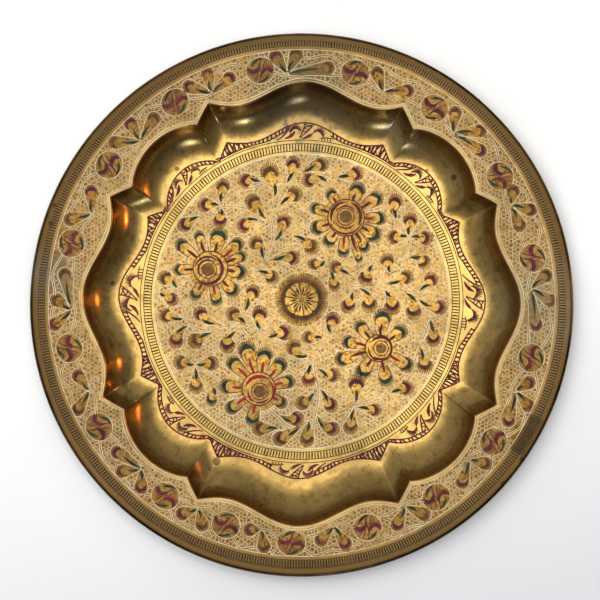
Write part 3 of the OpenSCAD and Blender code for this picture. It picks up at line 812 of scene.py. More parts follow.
floor_plain = [[FLOOR_CENTRE + p for p in teardrop((x, y), way, size, (x1, y1), (x2, y2))]
               for x, y, way, x1, y1, x2, y2, tone, size in BUDS]
for centre, disc_r, shift, ring_r, swirls, caps in FLOWERS:
    middle = on_floor(*centre)
    floor_plain.append(circle(middle + Vector(shift), ring_r + 3.6, 24))
    for x, y, size in caps:
        at = on_floor(x, y)
        out = (at - middle).normalized()
        cap = circle(at + out * 0.8, CAP * 1.35 * size, 14)
        floor_plain.append(hull(cap + circle(middle.lerp(at, 0.6), 2.6, 8)))
floor_plain.append(circle(on_floor(*ROSETTE_AT), 15.3, 36))
floor_stems = [[FLOOR_CENTRE + p for p in ribbon(stem, 1.15)] for stem in STEMS]
print(len(floor_plain), "plain patches and", len(floor_stems), "stems on the floor")

# %% [markdown]
# ## The white net
# All the ground between the motifs is covered with a tiny net of white lac lines, most meshes with five or
# six sides, drawn freehand. Scattered points joined by a triangulation give just that character when every
# third point is dissolved, because the triangles round it become one mesh. The outlines of the teardrops
# are part of the triangulation. Then each mesh is inset and its middle is deleted, which leaves the lines.

# %% Net helpers
NET_PITCH = 1.3
HUBS = set()


def spot_key(spot):
    """A point's place, rounded so that it can be looked up among the hubs."""
    return round(spot.x, 3), round(spot.y, 3)


def inside(points, outline):
    """Which of the points, an n by 2 array, lie inside a closed outline."""
    here = np.array([(p.x, p.y) for p in outline])
    there = np.roll(here, -1, axis=0)
    x, y = points[:, 0, None], points[:, 1, None]
    crosses = (here[:, 1] > y) != (there[:, 1] > y)
    rise = there[:, 1] - here[:, 1]
    rise[rise == 0] = 1e-9
    at = here[:, 0] + (y - here[:, 1]) * (there[:, 0] - here[:, 0]) / rise
    return (crosses & (x < at)).sum(axis=1) % 2 == 1


def covered(points, outlines):
    """Which of the points lie inside any of the outlines."""
    hit = np.zeros(len(points), bool)
    for outline in outlines:
        box = np.array([(p.x, p.y) for p in outline])
        near = ((points >= box.min(0)) & (points <= box.max(0))).all(axis=1)
        hit[near] |= inside(points[near], outline)
    return hit


def even(loop, pitch):
    """The closed outline again, with a point about every pitch."""
    spots = []
    for here, there in zip(loop, loop[1:] + loop[:1]):
        count = max(round((there - here).length / pitch), 1)
        spots += [here.lerp(there, k / count) for k in range(count)]
    return spots


print("outline helpers ready; a mesh of the net is about", 2 * NET_PITCH, "mm across")

# %% From a triangulation to a net
def net(points, edge_loops, plain, outer, line, inner=None):
    """A bmesh of thin lines: triangulate, drop what lies on plain patches, open up meshes, inset."""
    coords = [Vector(p) for p in points]
    edges = []
    for loop in edge_loops:
        loop = even(loop, NET_PITCH)
        start = len(coords)
        coords += loop
        edges += [(start + k, start + (k + 1) % len(loop)) for k in range(len(loop))]
    flat, _, faces = delaunay_2d_cdt(coords, edges, [], 0, 1e-4)[:3]
    middles = np.array([[sum(flat[k][axis] for k in face) / 3 for axis in (0, 1)] for face in faces])
    keep = inside(middles, outer) & ~covered(middles, plain)
    if inner:
        keep &= ~inside(middles, inner)
    bm = new_marks()
    spots = [bm.verts.new((p.x, p.y, 0)) for p in flat]
    for face, wanted in zip(faces, keep):
        if wanted:
            bm.faces.new([spots[k] for k in face])
    bmesh.ops.delete(bm, geom=[v for v in bm.verts if not v.link_faces], context="VERTS")
    bmesh.ops.remove_doubles(bm, verts=bm.verts, dist=0.15)
    # A point that goes takes its ring of triangles with it, and leaves one mesh of the net.
    hubs, taken = [], set()
    for first in (True, False):
        for vert in bm.verts:
            ends = {edge.other_vert(vert) for edge in vert.link_edges}
            held = vert in taken or vert.is_boundary or not vert.is_manifold or ends & taken
            if not held and (spot_key(vert.co) in HUBS or not first):
                taken.add(vert)
                hubs.append(vert)
    bmesh.ops.dissolve_verts(bm, verts=hubs)
    threes = [f for f in bm.faces if len(f.verts) == 3]
    bmesh.ops.join_triangles(bm, faces=threes, angle_face_threshold=3.1, angle_shape_threshold=1.2)
    wide = [f for f in bm.faces if 2 * f.calc_area() / f.calc_perimeter() > line * 0.75]
    bmesh.ops.inset_individual(bm, faces=wide, thickness=line * 0.56, use_even_offset=False)
    bmesh.ops.delete(bm, geom=wide, context="FACES_ONLY")
    return bm


print("net ready")

# %% Points for a net
def scattered(radius, centre):
    """Points on a triangular grid, each pushed at random. Every third point is the hub of a mesh."""
    count = int(radius / NET_PITCH / 0.87) + 1
    spots = []
    for row in range(-count, count + 1):
        for column in range(-count, count + 1):
            push = Vector((random.uniform(-0.3, 0.3), random.uniform(-0.3, 0.3)))
            spot = Vector(centre) + (Vector((column + 0.5 * (row % 2), 0.87 * row)) + push) * NET_PITCH
            spots.append(spot)
            if (column - (row - row % 2) // 2 - row) % 3 == 0:
                HUBS.add(spot_key(spot))
    return spots


def free_ground(spots, wanted, patches, limits):
    """The points that are wanted, lie on no patch and keep off the patches' outlines."""
    flat = np.array([p[:] for p in spots])
    free = wanted(flat) & ~covered(flat, patches)
    border = [p for patch in patches + limits for p in even(patch, NET_PITCH)]
    tree = KDTree(len(border))
    for k, p in enumerate(border):
        tree.insert((p.x, p.y, 0), k)
    tree.balance()
    return [p for p, keep in zip(spots, free) if keep and tree.find((p.x, p.y, 0))[2] > 0.55 * NET_PITCH]


print("points helper ready")

# %% The floor's net
FLOOR_NET_T, RIM_NET_T, OUTLINE_T = 0.29, 0.26, 0.38
random.seed(11)
field_outline = circle(FLOOR_CENTRE, FIELD_R, 120)
floor_open = floor_plain + floor_stems
ground = free_ground(scattered(FIELD_R, FLOOR_CENTRE), lambda flat: inside(flat, field_outline),
                     floor_open, [field_outline])
bm = net(ground, [field_outline] + floor_open, floor_open, field_outline, FLOOR_NET_T)
inlay("floor_net", bm, SHEET_T, "white", ["field_line_lac"])

# %% Outlines
def outlines(patches, within):
    """Lines round the patches, left out wherever they would cross another patch."""
    bm = new_marks()
    for number, patch in enumerate(patches):
        middles = np.array([((a + b) / 2)[:] for a, b in zip(patch, patch[1:] + patch[:1])])
        rest = patches[:number] + patches[number + 1:]
        hidden = covered(middles, rest) | ~within(middles)
        shown = {tuple(m): not h for m, h in zip(middles, hidden)}
        closed_line(bm, patch, OUTLINE_T, keep=lambda m: shown[tuple(np.array(m[:]))])
    return bm


def on_field(points):
    """Which of the points lie on the netted part of the floor."""
    return np.hypot(points[:, 0] - FLOOR_CENTRE.x, points[:, 1] - FLOOR_CENTRE.y) < FIELD_R


print("outline helper ready")

# %% Outlines of the floor's teardrops and stems
bm = outlines(floor_open, on_field)
ring(bm, FLOOR_CENTRE, FIELD_R - 0.25, FIELD_R + 0.25, 160)
inlay("floor_outlines", bm, SHEET_T, "white", [], lift=0.01)

# %% [markdown]
# ## The rosette
# In the middle sits a ten-petalled rosette of bare gold metal in a dark brown ring. The ring is nothing but
# short strokes side by side, cut from the petals outwards, so its outer edge is feathery. The petals are
# parted by dark lines, and each has a short wedge in its middle.

# %% Rosette
rosette_centre = on_floor(*ROSETTE_AT)
bm = new_marks()
for k in range(90):
    far = 15.2 + 0.5 * math.sin(k * 2.399) + 0.5 * math.sin(k * 0.77)
    ends = [rosette_centre + polar(radius, 4 * k) for radius in (9.4, far)]
    stroke(bm, ends, [0.95, 0.95 * 0.7, 0.06], steps=3)
ring(bm, rosette_centre, 9.3, 10.4, 60)
inlay("rosette_ring", bm, SHEET_T, "brown", ["rosette_halo_lac"])
bm = new_marks()
for petal in range(10):
    angle = 36 * petal - 8
    parting = [rosette_centre + polar(1.4, angle), rosette_centre + polar(8.9, angle)]
    stroke(bm, parting, [0.35, 0.7, 0.5], steps=3)
    wedge = [rosette_centre + polar(2.6, angle + 18), rosette_centre + polar(6.9, angle + 18)]
    stroke(bm, wedge, [0.3, 1.15, 0.3], steps=4)
    edge = [rosette_centre + polar(8.9, angle), rosette_centre + polar(10.6, angle + 8),
            rosette_centre + polar(10.6, angle + 28), rosette_centre + polar(8.9, angle + 36)]
    stroke(bm, edge, [0.55, 0.3, 0.55], steps=6)
ring(bm, rosette_centre, 0.9, 1.25, 16)
inlay("rosette_petals", bm, SHEET_T, "dark", ["rosette_petal_lac"], lift=0.01)

# %% [markdown]
# ## The large flowers
# Each flower is a hatched brown disc in a swirl of maroon crescents, then a ring of petals. A petal is a
# club-shaped stroke between two thin lines, and its tip is a dark green cap whose hatching runs outwards.

# %% Large flowers
def hatched_disc(bm, centre, radius, pitch=0.6, width=0.4):
    """Two sets of parallel strokes that fill a disc."""
    rows = int(radius / pitch)
    for row in range(-rows, rows + 1):
        off = row * pitch
        half = math.sqrt(max(radius ** 2 - off ** 2, 0.05))
        x, y = centre
        stroke(bm, [(x - half, y + off), (x + half, y + off)], [width, width], steps=1)
        stroke(bm, [(x + off, y - half), (x + off, y + half)], [width * 0.6, width * 0.6], steps=1)


def swirl(bm, centre, start, end, radius, width):
    """A crescent line: full in its middle, fine at its ends."""
    def place(share, way):
        full = max(math.sin(math.pi * share), 0.0) ** 0.7
        return Vector(centre) + polar(radius + way * (0.16 + full * width / 2), start + (end - start) * share)
    shaped(bm, place, max(int(abs(end - start) / 14), 5))


discs, rings, clubs, red_clubs, caps_bm = (new_marks() for _ in range(5))
for number, (centre, disc_r, shift, ring_r, swirls, caps) in enumerate(FLOWERS):
    middle = on_floor(*centre)
    hub = middle + Vector(shift)
    hatched_disc(discs, middle, disc_r)
    ring(rings, middle, disc_r + 1.0, disc_r + 1.5, 32)
    ring(rings, hub, ring_r - 0.32, ring_r + 0.32, 48)
    for start, end, radius, width in swirls:
        bright = number == 3 and width > 1.05
        swirl(red_clubs if bright else rings, middle, start, end, radius, width)
    for k, (x, y, size) in enumerate(caps):
        at = on_floor(x, y)
        out = (at - hub).normalized()
        side = Vector((-out.y, out.x))
        reach = (at - hub).length
        root, tip = hub + out * ring_r, hub + out * (ring_r + 0.7 * (reach - ring_r))
        bent = (root + tip) / 2 + side * 0.7 * math.sin(k * 1.7)
        club = red_clubs if number == 3 or k % 4 == 3 else clubs
        stroke(club, [root, bent, tip], [1.3, 1.6, 1.5, 0.5], steps=6)
        for way in (-1, 1):
            foot = hub + out * (ring_r * 0.98) + side * way * 2.2
            horn = at - out * 0.4 + side * way * CAP * 0.95 * size
            stroke(rings, [foot, (foot + horn) / 2 + side * way * 0.6, horn], [0.2, 0.45, 0.35], steps=4)
        turn = math.degrees(math.atan2(out.y, out.x))
        crescent(caps_bm, at - out * 0.6, turn, CAP * size, spread=104, notch=0.5)
        hatching(caps_bm, at - out * 0.6, turn, CAP * size, reach=2.05, fan=80)
inlay("flower_discs", discs, SHEET_T, "brown", [])
inlay("flower_rings", rings, SHEET_T, "maroon", ["dahlia_ring_lac"])
inlay("flower_petals", clubs, SHEET_T, "maroon", [], lift=0.005)
inlay("flower_red_petals", red_clubs, SHEET_T, "red", ["dahlia_stroke_lac"], lift=0.01)
inlay("flower_caps", caps_bm, SHEET_T, "green", ["dahlia_cap_lac"])

# %% [markdown]
# ## Buds and leaves
# A bud is the same cap, smaller and in maroon or brown, with a curved dark green leaf that slips out of its
# mouth along the stem. Here and there the chaser touched the leaf's start with red.

# %% Buds
bud_marks = {"maroon": new_marks(), "brown": new_marks(), "green": new_marks()}
leaves, dabs = new_marks(), new_marks()
for k, (x, y, way, x1, y1, x2, y2, tone, size) in enumerate(BUDS):
    at = on_floor(x, y)
    crescent(bud_marks[tone], at, way, CAP * size)
    hatching(bud_marks[tone], at, way, CAP * size)
    near, far = on_floor(x1, y1), on_floor(x2, y2)
    along = (far - near).normalized()
    tip = near + along * min((far - near).length, 6.5)
    side = Vector((-along.y, along.x)) * (0.9 if k % 2 else -0.9)
    stroke(leaves, [near - along * 1.2, (near + tip) / 2 + side * 1.4, tip], [0.2, 1.9, 1.5, 0.2], steps=8)
    if k % 3 == 0:
        start = near - side * 1.2
        stroke(dabs, [start, start + along * 1.6 - side * 0.4], [0.3, 0.9, 0.2], steps=3)
inlay("maroon_buds", bud_marks["maroon"], SHEET_T, "maroon", ["bud_maroon_lac"])
inlay("brown_buds", bud_marks["brown"], SHEET_T, "brown", ["bud_brown_lac"])
inlay("green_bud", bud_marks["green"], SHEET_T, "green", [])
inlay("leaves", leaves, SHEET_T, "green", ["leaf_green_lac"], lift=0.01)
inlay("red_dabs", dabs, SHEET_T, "wine", [])

# %% [markdown]
# ## The rim's roundels and sprigs
# Seventeen roundels run round the rim, spaced by eye, and each is the same two-leaf knot: one half, and the
# same half turned round. Between two roundels a sprig of two or three buds fans out from the inner edge.
# The white net fills the ground again, and a white rule follows the lobed edge.

# %% Places on the rim
# Clockwise angle and distance from the middle of the rim.
ROUNDELS = ((13, 131), (34, 130.5), (57, 130), (78.5, 129.5), (103, 129.5), (125.5, 129.5), (145, 129),
            (163.5, 127.5), (182.5, 131), (199, 128), (215.5, 129), (239, 130), (259.5, 130), (285, 131),
            (306, 131), (328, 131.5), (350, 131))
# Root of the sprig as angle and distance, then each bud in the same way with its tone.
SPRIGS = (
    ((356.5, 127.5), (354.2, 136.5, M), (358.6, 137, B), (6, 131, B)),
    ((21, 125.5), (18.2, 133.5, B), (26, 131, M)),
    ((41.5, 126), (38.8, 134.5, B), (45.5, 136.5, B), (48.8, 129.5, M)),
    ((64.5, 127.5), (62, 131.5, B), (67.2, 135.5, M), (69.5, 127.5, B)),
    ((86, 126.5), (83.3, 134.5, B), (88.8, 136, B), (94.5, 129, M)),
    ((112, 127), (109.2, 131.5, M), (113.8, 135.5, B), (118.8, 130, M)),
    ((132.8, 125.5), (131, 132.5, B), (137.5, 131, M)), ((152.8, 124.5), (150, 132.5, B), (156.2, 131, M)),
    ((171.8, 123), (169.8, 132.5, M), (175, 129, B)), ((190.3, 125.5), (189, 133.5, B), (192.6, 126.5, M)),
    ((207, 125.5), (204.6, 132, B), (209.5, 131.5, M)),
    ((224.5, 126), (221.6, 133, M), (227, 134, B), (231, 129.5, M)),
    ((248, 126), (245.2, 135, B), (252, 128.5, M)),
    ((268.8, 126.5), (265.7, 135.5, M), (271, 134, B), (277, 131, B)),
    ((293.5, 126), (290.5, 135, B), (298, 131, M)),
    ((315.5, 126.5), (311.2, 135.5, B), (316.6, 136.5, M), (321.2, 130.5, B)),
    ((337, 126.5), (333, 134.5, M), (337.8, 136.5, B), (342, 130.5, M)))
print(len(ROUNDELS), "roundels and", len(SPRIGS), "sprigs")

# %% Roundel outlines
ROUNDEL_R, ROUNDEL_H = 8.0, 7.4


def local(angle, radius, x, y):
    """A point x across and y outwards of a place on the rim."""
    out = polar(1, angle)
    return polar(radius, angle) + Vector((out.y, -out.x)) * x + out * y


edge_outline = [rim_edge(angle, 2.4) for angle in COLUMNS[:-1:3]]
rim_outline = circle(RIM_RING_CENTRE, NET_R, 180)
limits = edge_outline + rim_outline
ROUNDEL_SIZES = [min(min((polar(radius, angle) - p).length for p in limits) - 0.3, ROUNDEL_H)
                 for angle, radius in ROUNDELS]


def roundel(angle, radius, size):
    """The outline of a roundel, which is a little wider than it is tall."""
    return [local(angle, radius, ROUNDEL_R * p.x, size * p.y) for p in circle((0, 0), 1, 28)]


print("roundels are", round(min(ROUNDEL_SIZES), 1), "to", round(max(ROUNDEL_SIZES), 1), "mm to the edge")

# %% Roundels
knots, knot_reds, knot_leaves = (new_marks() for _ in range(3))
for (angle, radius), size in zip(ROUNDELS, ROUNDEL_SIZES):
    k = size / ROUNDEL_H
    for way in (1, -1):
        def spot(x, y):
            return local(angle, radius, x * way * 1.04, y * way * k)
        main = [spot(1.8, 6.7), spot(-0.6, 3.4), spot(-0.4, 0.8), spot(0, 0)]
        stroke(knots, main, [0.35, 0.8, 0.7], steps=7)
        stroke(knots, [spot(4.2, 5.4), spot(1.7, 3.2), spot(1.3, -0.9)], [0.25, 0.55, 0.3], steps=6)
        turn = (262 if way > 0 else 82) - angle
        crescent(knots, spot(-3.4, 3.1), turn, 3.8 * k, spread=98, notch=0.52)
        hatching(knots, spot(-3.4, 3.1), turn, 3.9 * k, count=21, reach=1.85, fan=72)
        stroke(knots, [spot(-6.9, 3.6), spot(-7.0, 1.4), spot(-5.0, -0.8)], [0.3, 1.3, 0.6], steps=5)
        leaf = [spot(-4.5, 2.9), spot(-1.9, 6.4), spot(2.9, 6.6)]
        stroke(knot_leaves, leaf, [0.2, 1.55, 1.1, 0.2], steps=8)
        stroke(knot_reds, [spot(-6.6, 1.2), spot(-5.6, -0.9), spot(-3.6, -1.5)], [0.2, 0.9, 0.2], steps=4)
inlay("roundel_knots", knots, RIM_Z, "maroon", ["roundel_maroon_lac"])
inlay("roundel_reds", knot_reds, RIM_Z, "red", [])
inlay("roundel_leaves", knot_leaves, RIM_Z, "green", ["roundel_green_lac"], lift=0.01)

# %% Sprigs
rim_caps = {"maroon": new_marks(), "brown": new_marks()}
rim_leaves = new_marks()
rim_plain = [roundel(*place, size) for place, size in zip(ROUNDELS, ROUNDEL_SIZES)]
for root, *buds in SPRIGS:
    foot = polar(*root[::-1])
    for k, (angle, radius, tone) in enumerate(buds):
        at = polar(radius, angle)
        out = (at - foot).normalized()
        turn = math.degrees(math.atan2(out.y, out.x)) + (12 if k else -12)
        crescent(rim_caps[tone], at, turn, 3.1)
        hatching(rim_caps[tone], at, turn, 3.1, reach=1.9)
        start, side = foot + out * 0.8, Vector((-out.y, out.x))
        tip = start + out * max((at - foot).length - 3.4, 2.5)
        stroke(rim_leaves, [start, (start + tip) / 2 + side * 1.1, tip], [0.3, 1.7, 1.2, 0.15], steps=7)
        rim_plain.append(hull(circle(at + out * 0.9, 4.1, 14) + circle(start + out, 1.3, 8)))
inlay("rim_maroon_buds", rim_caps["maroon"], RIM_Z, "maroon", ["rim_bud_lac"])
inlay("rim_brown_buds", rim_caps["brown"], RIM_Z, "brown", [])
inlay("rim_leaves", rim_leaves, RIM_Z, "green", ["rim_leaf_lac"], lift=0.01)

# %% The rim's net
random.seed(23)
# Where the net has worn away: clockwise angle, distance from the middle and radius.
WORN = [circle(polar(radius, angle), size, 12) for angle, radius, size in
        ((280, 137.5, 6.5), (274, 139, 4), (287, 140, 4), (120, 140, 7), (93, 124, 3.5), (46, 137, 3))]
vines = []
for (a1, r1), (a2, r2) in zip(ROUNDELS, ROUNDELS[1:] + ((373, 131),)):
    half, gap = (a1 + a2) / 2, a2 - a1
    vines.append(ribbon([polar(133.5, a1 + 2.9), polar(137.8, a1 + gap * 0.3), polar(135.8, half),
                         polar(138, a1 + gap * 0.7), polar(134, a2 - 2.9)], 1.0, 8))
    vines.append(ribbon([polar(r1 - 2, a1 + 2.9), polar(r1 - 5.6, a1 + gap * 0.35),
                         polar((r1 + r2) / 2 - 4.2, half), polar(r2 - 3, a2 - 2.9)], 1.0, 8))
rim_open = rim_plain + vines
inner_limit = [rim_edge(angle, 3.1) for angle in COLUMNS[:-1:3]]
borders = [edge_outline, rim_outline]
ground = free_ground(scattered(NET_R, (0, 0)),
                     lambda flat: inside(flat, rim_outline) & ~inside(flat, inner_limit), rim_open, borders)
bm = net(ground, borders + rim_open, rim_open + WORN, rim_outline, RIM_NET_T, inner=edge_outline)
inlay("rim_net", bm, RIM_Z, "cream", ["rim_border_lac"])


def on_the_rim(points):
    """Which of the points lie on the netted part of the rim."""
    return inside(points, rim_outline) & ~inside(points, edge_outline)


bm = outlines(rim_open, on_the_rim)
ring(bm, RIM_RING_CENTRE, NET_R - 0.2, NET_R + 0.2, 180)
closed_line(bm, edge_outline, 0.45)
inlay("rim_outlines", bm, RIM_Z, "cream", ["roundel_ring_lac"], lift=0.04)
# A thin white line just past the well's rounded edge: a painted highlight along that edge, laid in as white
# lac.
bm = new_marks()
closed_line(bm, [rim_edge(angle, 0.9) for angle in COLUMNS[:-1:3]], 0.22)
inlay("rim_edge_painted_highlight", bm, RIM_Z, "white", [], lift=-0.03)

# %% [markdown]
# ## The spandrels
# Between the ladder ring and the lobed foot of the cove a maroon band of small cells follows the outline:
# two lines with rungs between. Where a lobe gives room, two curling leaves with red strokes fill it, and
# the peaks hold a patch of crossed strokes.

# %% The spandrels' border
bars, scrolls, lines, reds = (new_marks() for _ in range(4))
FLOOR_RING_R = 90.6
BORDER_T = 2.3
# How far the border's outer line strays at each of the eight lobes, because it was drawn freehand.
BORDER_STRAY = (-0.8, 0.6, 1.9, 1.7, -1.7, 1.5, 1.5, -0.9)


def border(angle, deeper=0.0):
    """A point on the border's outer line, or deeper inside it."""
    lobe = round(angle / 45)
    near = math.cos(math.radians(4 * (angle - 45 * lobe)))
    return floor_edge(angle, BORDER_STRAY[lobe % 8] * near - 0.9 - deeper)


def inner_border(angle):
    """A point on the border's inner line, which keeps to the ring under the peaks."""
    flat = border(angle, BORDER_T) - FLOOR_CENTRE
    turn = min(angle % 90, 90 - angle % 90)
    radius = FLOOR_RING_R + 0.7 if 15 < turn < 33 else max(flat.length, FLOOR_RING_R + 0.7)
    return FLOOR_CENTRE + flat.normalized() * radius


def clear_of_ring(point):
    """Whether a point lies outside the floor's maroon ring."""
    return (point - FLOOR_CENTRE).length > FLOOR_RING_R


def beside_leaves(point):
    """Whether the border is double here: over a lobe's leaves only its outer line runs on."""
    flat = point - FLOOR_CENTRE
    angle = math.degrees(math.atan2(flat.x, flat.y))
    lobe = round(angle / 45)
    turn = angle - turned(45 * lobe)
    return clear_of_ring(point) and (turn < -5.3 or turn > (9.5 if lobe % 2 == 0 else 1.5))


closed_line(bars, [border(angle) for angle in COLUMNS[:-1:2]], 0.82, keep=clear_of_ring)
closed_line(bars, [inner_border(angle) for angle in COLUMNS[:-1:2]], 0.72,
            keep=lambda p: beside_leaves(p) and (p - FLOOR_CENTRE).length > FLOOR_RING_R + 0.5)
# The rungs: walk round in eighths of a degree and cut one whenever the pitch has been covered.
RUNG_PITCH = 2.35
walked, before = 0.0, border(0)
for step in range(1, 8 * 360 + 1):
    angle = step / 8
    here = border(angle)
    walked += (here - before).length
    before = here
    if walked > RUNG_PITCH and clear_of_ring(here) and beside_leaves(here):
        low = inner_border(angle + 0.35 * math.sin(step))
        if (here - low).length > 0.8:
            stroke(bars, [low, here], [1.4, 0.88, 1.4], steps=3)
        walked = 0.0
print("border drawn")

# %% The spandrels' leaves
def in_lobe(angle, x, y):
    """A point x along and y outwards of the middle of a lobe's foot."""
    out = polar(1, turned(angle))
    return FLOOR_CENTRE + out * (FLOOR_RING_R + y) + Vector((out.y, -out.x)) * x


for lobe in range(8):
    angle, big = 45 * lobe, lobe % 2 == 0
    tall = ((border(angle) - FLOOR_CENTRE).length - FLOOR_RING_R) / 9.2
    wide = 1.0 if big else 0.8

    def leaf(x, y):
        return in_lobe(angle, x * (wide if x > 0 else 0.95), y * tall)

    # The stem that parts the two leaves is a narrow ladder from the top down to the ring.
    stroke(lines, [leaf(-0.2, 8.9), leaf(-0.2, 5.2), leaf(-3.2, 0.9)], [0.7, 0.95, 0.6], steps=7)
    stroke(lines, [leaf(4.8, 8.2), leaf(2.4, 5.2), leaf(-2.6, 0.9)], [0.7, 0.9, 0.6], steps=7)
    for x1, y1, x2, y2 in ((0, 8.3, 3.9, 6.9), (-0.1, 6.5, 3.7, 8.0), (-0.3, 6.3, 2.2, 5.0),
                           (-0.5, 4.6, 1.2, 3.9)):
        stroke(bars, [leaf(x1, y1), leaf(x2, y2)], [0.8, 0.6, 0.8], steps=2)
    # The left leaf springs from the border's end.
    stroke(lines, [leaf(-9.0, 7.3), leaf(-10.2, 3.0), leaf(-16.0, -0.9)], [0.8, 0.95, 0.6], steps=8)
    for x, y, way, size in ((-5.4, 3.3, 98, 3.5), (7.2, 2.0, 62, 3.3)):
        at, size = leaf(x, y), size * (tall + 1) / 2 * (1 if big else 0.9)
        facing_way = way - turned(angle)
        crescent(lines, at, facing_way, size, spread=98, notch=0.62)
        hatching(lines, at, facing_way, size, count=15, reach=1.65, fan=78)
        hatching(scrolls, at, facing_way, size * 0.96, count=12, reach=1.9, fan=70)
    stroke(reds, [leaf(-11.6, 0.1), leaf(-8.2, 1.0), leaf(-5.6, 4.3)], [0.3, 1.5, 2.0, 0.3], steps=7)
    stroke(reds, [leaf(-1.8, 0.2), leaf(1.6, 1.0), leaf(4.6, 3.5)], [0.3, 1.4, 1.9, 0.3], steps=7)
    stroke(lines, [leaf(-11.9, 0.3), leaf(-8.0, 1.6), leaf(-6.2, 4.4)], [0.35, 0.8, 0.4], steps=6)
    # The right flank's base is a low ladder again.
    stroke(lines, [leaf(8.2, 0.4), leaf(11.5, 1.7), leaf(16.2, 0.2)], [0.4, 0.7, 0.5], steps=6)
    for x in (9.6, 11.1, 12.7, 14.3):
        stroke(bars, [leaf(x, -x * x / 181 * wide), leaf(x, 1.0)], [0.8, 0.55, 0.8], steps=2)

# %% The peaks' crossed strokes
for angle in (0, 90, 180, 270):
    for flip in (1, -1):
        for turn in (22.5, 24.5, 26.5, 28.2):
            low = angle + flip * (turn - 1.6)
            for start, end in ((low, angle + flip * turn), (angle + flip * turn, low)):
                foot, top = inner_border(start), border(end)
                if clear_of_ring(top) and (top - foot).length > 1.2:
                    stroke(bars, [foot, top], [0.6, 0.6, 0.6], steps=2)
        stroke(reds, [floor_edge(angle + flip * 31, -1.2), floor_edge(angle + flip * 33.2, -0.6)],
               [0.3, 1.3, 0.3], steps=3)
inlay("spandrel_bars", bars, SHEET_T, "maroon", ["spandrel_border_lac"])
inlay("spandrel_scrolls", scrolls, SHEET_T, "brown", ["spandrel_scroll_lac"])
inlay("spandrel_leaf_lines", lines, SHEET_T, "maroon", [], lift=0.005)
inlay("spandrel_reds", reds, SHEET_T, "wine", [], lift=0.01)

# %% [markdown]
# ## The camera
# It looks straight down from a metre above the rim, through a long lens, so that the coves show evenly.

# %% Camera
CAMERA_ABOVE_RIM = 1000.0
CAMERA_RIGHT, CAMERA_BACK = -0.93, 2.75
LENS = 109.1
camera_data = bpy.data.cameras.new("overhead")
camera_data.sensor_width = 36
camera_data.lens = LENS
camera = bpy.data.objects.new("overhead", camera_data)
camera.location = (CAMERA_RIGHT * MM, CAMERA_BACK * MM, (RIM_Z + CAMERA_ABOVE_RIM) * MM)
bpy.context.scene.collection.objects.link(camera)
bpy.context.scene.camera = camera
print("camera at", tuple(round(c, 4) for c in camera.location))

# %% [markdown]
# ## The table and the light
# The tray lies on a plain pale table. Metal shows what it reflects, so the light is built as things to
# reflect: a pale ceiling for the floor and rim, a dim band lower down for the coves, a window low at the
# front for the cool glints, and a small warm lamp at the right.

# %% Table
TABLE_R, TABLE_DROP = 4.0, 0.0002


def pale_table():
    """A pale laminate top, with painted shade that greys it towards the front, just under the tray."""
    bm = bmesh.new()
    bmesh.ops.create_circle(bm, cap_ends=True, segments=96, radius=TABLE_R)
    bmesh.ops.translate(bm, verts=bm.verts, vec=(0, 0, -TABLE_DROP))
    mesh = bpy.data.meshes.new("table")
    bm.to_mesh(mesh)
    bm.free()
    material, tree, shader, place = new_material("pale_laminate")
    # Painted shade: the top's colour greys towards the front, where the light falls off.
    to_front = add(tree, "VectorMath", DOT, 1, i0=place, i1=(0.2, -1, 0))
    painted_falloff_shade = add(tree, "MapRange", Value=to_front, i1=0.0, i2=0.19)
    pale = tint(tree, colour("#FBFDFF"), speckle(tree, place, 90, 0.3, 0.7), "#F6F8FB")
    fill(tree, shader, Base_Color=tint(tree, pale, painted_falloff_shade, "#D9DBE2"), Roughness=0.8, Specular_IOR_Level=0.2)
    mesh.materials.append(material)
    table = bpy.data.objects.new("table", mesh)
    bpy.context.scene.collection.objects.link(table)


pale_table()

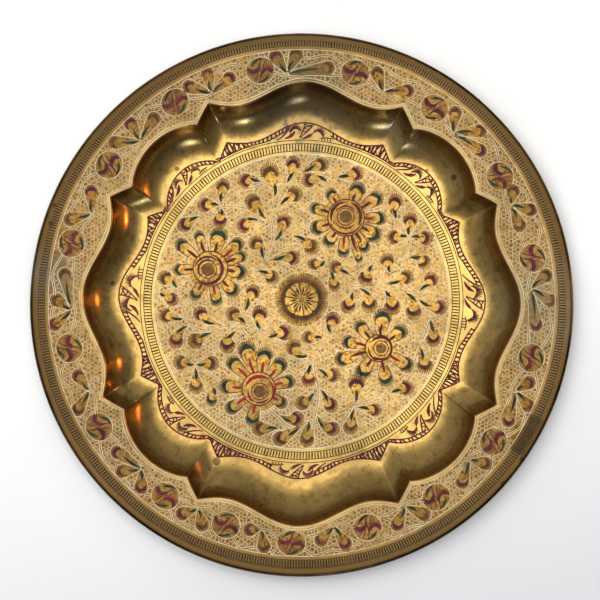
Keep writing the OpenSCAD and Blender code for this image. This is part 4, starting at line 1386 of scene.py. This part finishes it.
# %% Room light
# Tones from straight down to straight up, by the height of the direction.
ROOM_TONES = ((0.0, "#B8B8B8"), (0.04, "#9A9A9A"), (0.12, "#8C8984"), (0.45, "#9C9892"), (0.88, "#B4AFA8"),
              (0.965, "#FFFAF0"), (1.0, "#FFFBF2"))


def room_light():
    """A world whose ceiling is pale and whose middle band is dim."""
    world = bpy.data.worlds.new("room")
    world.use_nodes = True
    bpy.context.scene.world = world
    tree = world.node_tree
    way = add(tree, "TexCoord", out="Generated")
    tones = add(tree, "ValToRGB", {"tones": ROOM_TONES}, Fac=add(tree, "SeparateXYZ", out="Z", Vector=way))
    # The back and the left of the room are lighter than the front and the right.
    tilt = add(tree, "VectorMath", DOT, 1, i0=way, i1=(-0.35, 0.55, 0))
    gain = add(tree, "Math", {"operation": "ADD"}, i0=tilt, i1=1.05)
    shaded = add(tree, "VectorMath", {"operation": "SCALE"}, i0=tones, Scale=gain)
    fill(tree, tree.nodes["Background"], Color=shaded, Strength=1.08)


def panel(name, place, size, power, tone, mirrored=True, on_table=True):
    """A flat soft light that faces the tray, mirrored in the metal or not, on the table too or not."""
    light = bpy.data.lights.new(name, "AREA")
    light.shape = "RECTANGLE"
    light.size, light.size_y = size
    light.energy = power
    light.color = colour(tone)[:3]
    lamp = bpy.data.objects.new(name, light)
    lamp.location = place
    lamp.rotation_euler = (-Vector(place)).to_track_quat("-Z", "Y").to_euler()
    lamp.visible_glossy = mirrored
    lamp.visible_diffuse = on_table
    bpy.context.scene.collection.objects.link(lamp)


room_light()
panel("key", (-0.35, 0.35, 1.7), (1.4, 1.4), 21.5, "#FFFFFF", mirrored=False)
panel("window", (0.25, -1.5, 0.75), (0.30, 0.36), 3.0, "#E4EEFF")
panel("lamp", (1.3, 0.1, 0.30), (0.05, 0.05), 2.4, "#FF9A48", on_table=False)
panel("ceiling_panel", (0.3, 0.2, 1.9), (0.9, 0.9), 1.5, "#FFF6E6")
bpy.context.scene.view_settings.view_transform = "Standard"
print("lights set")
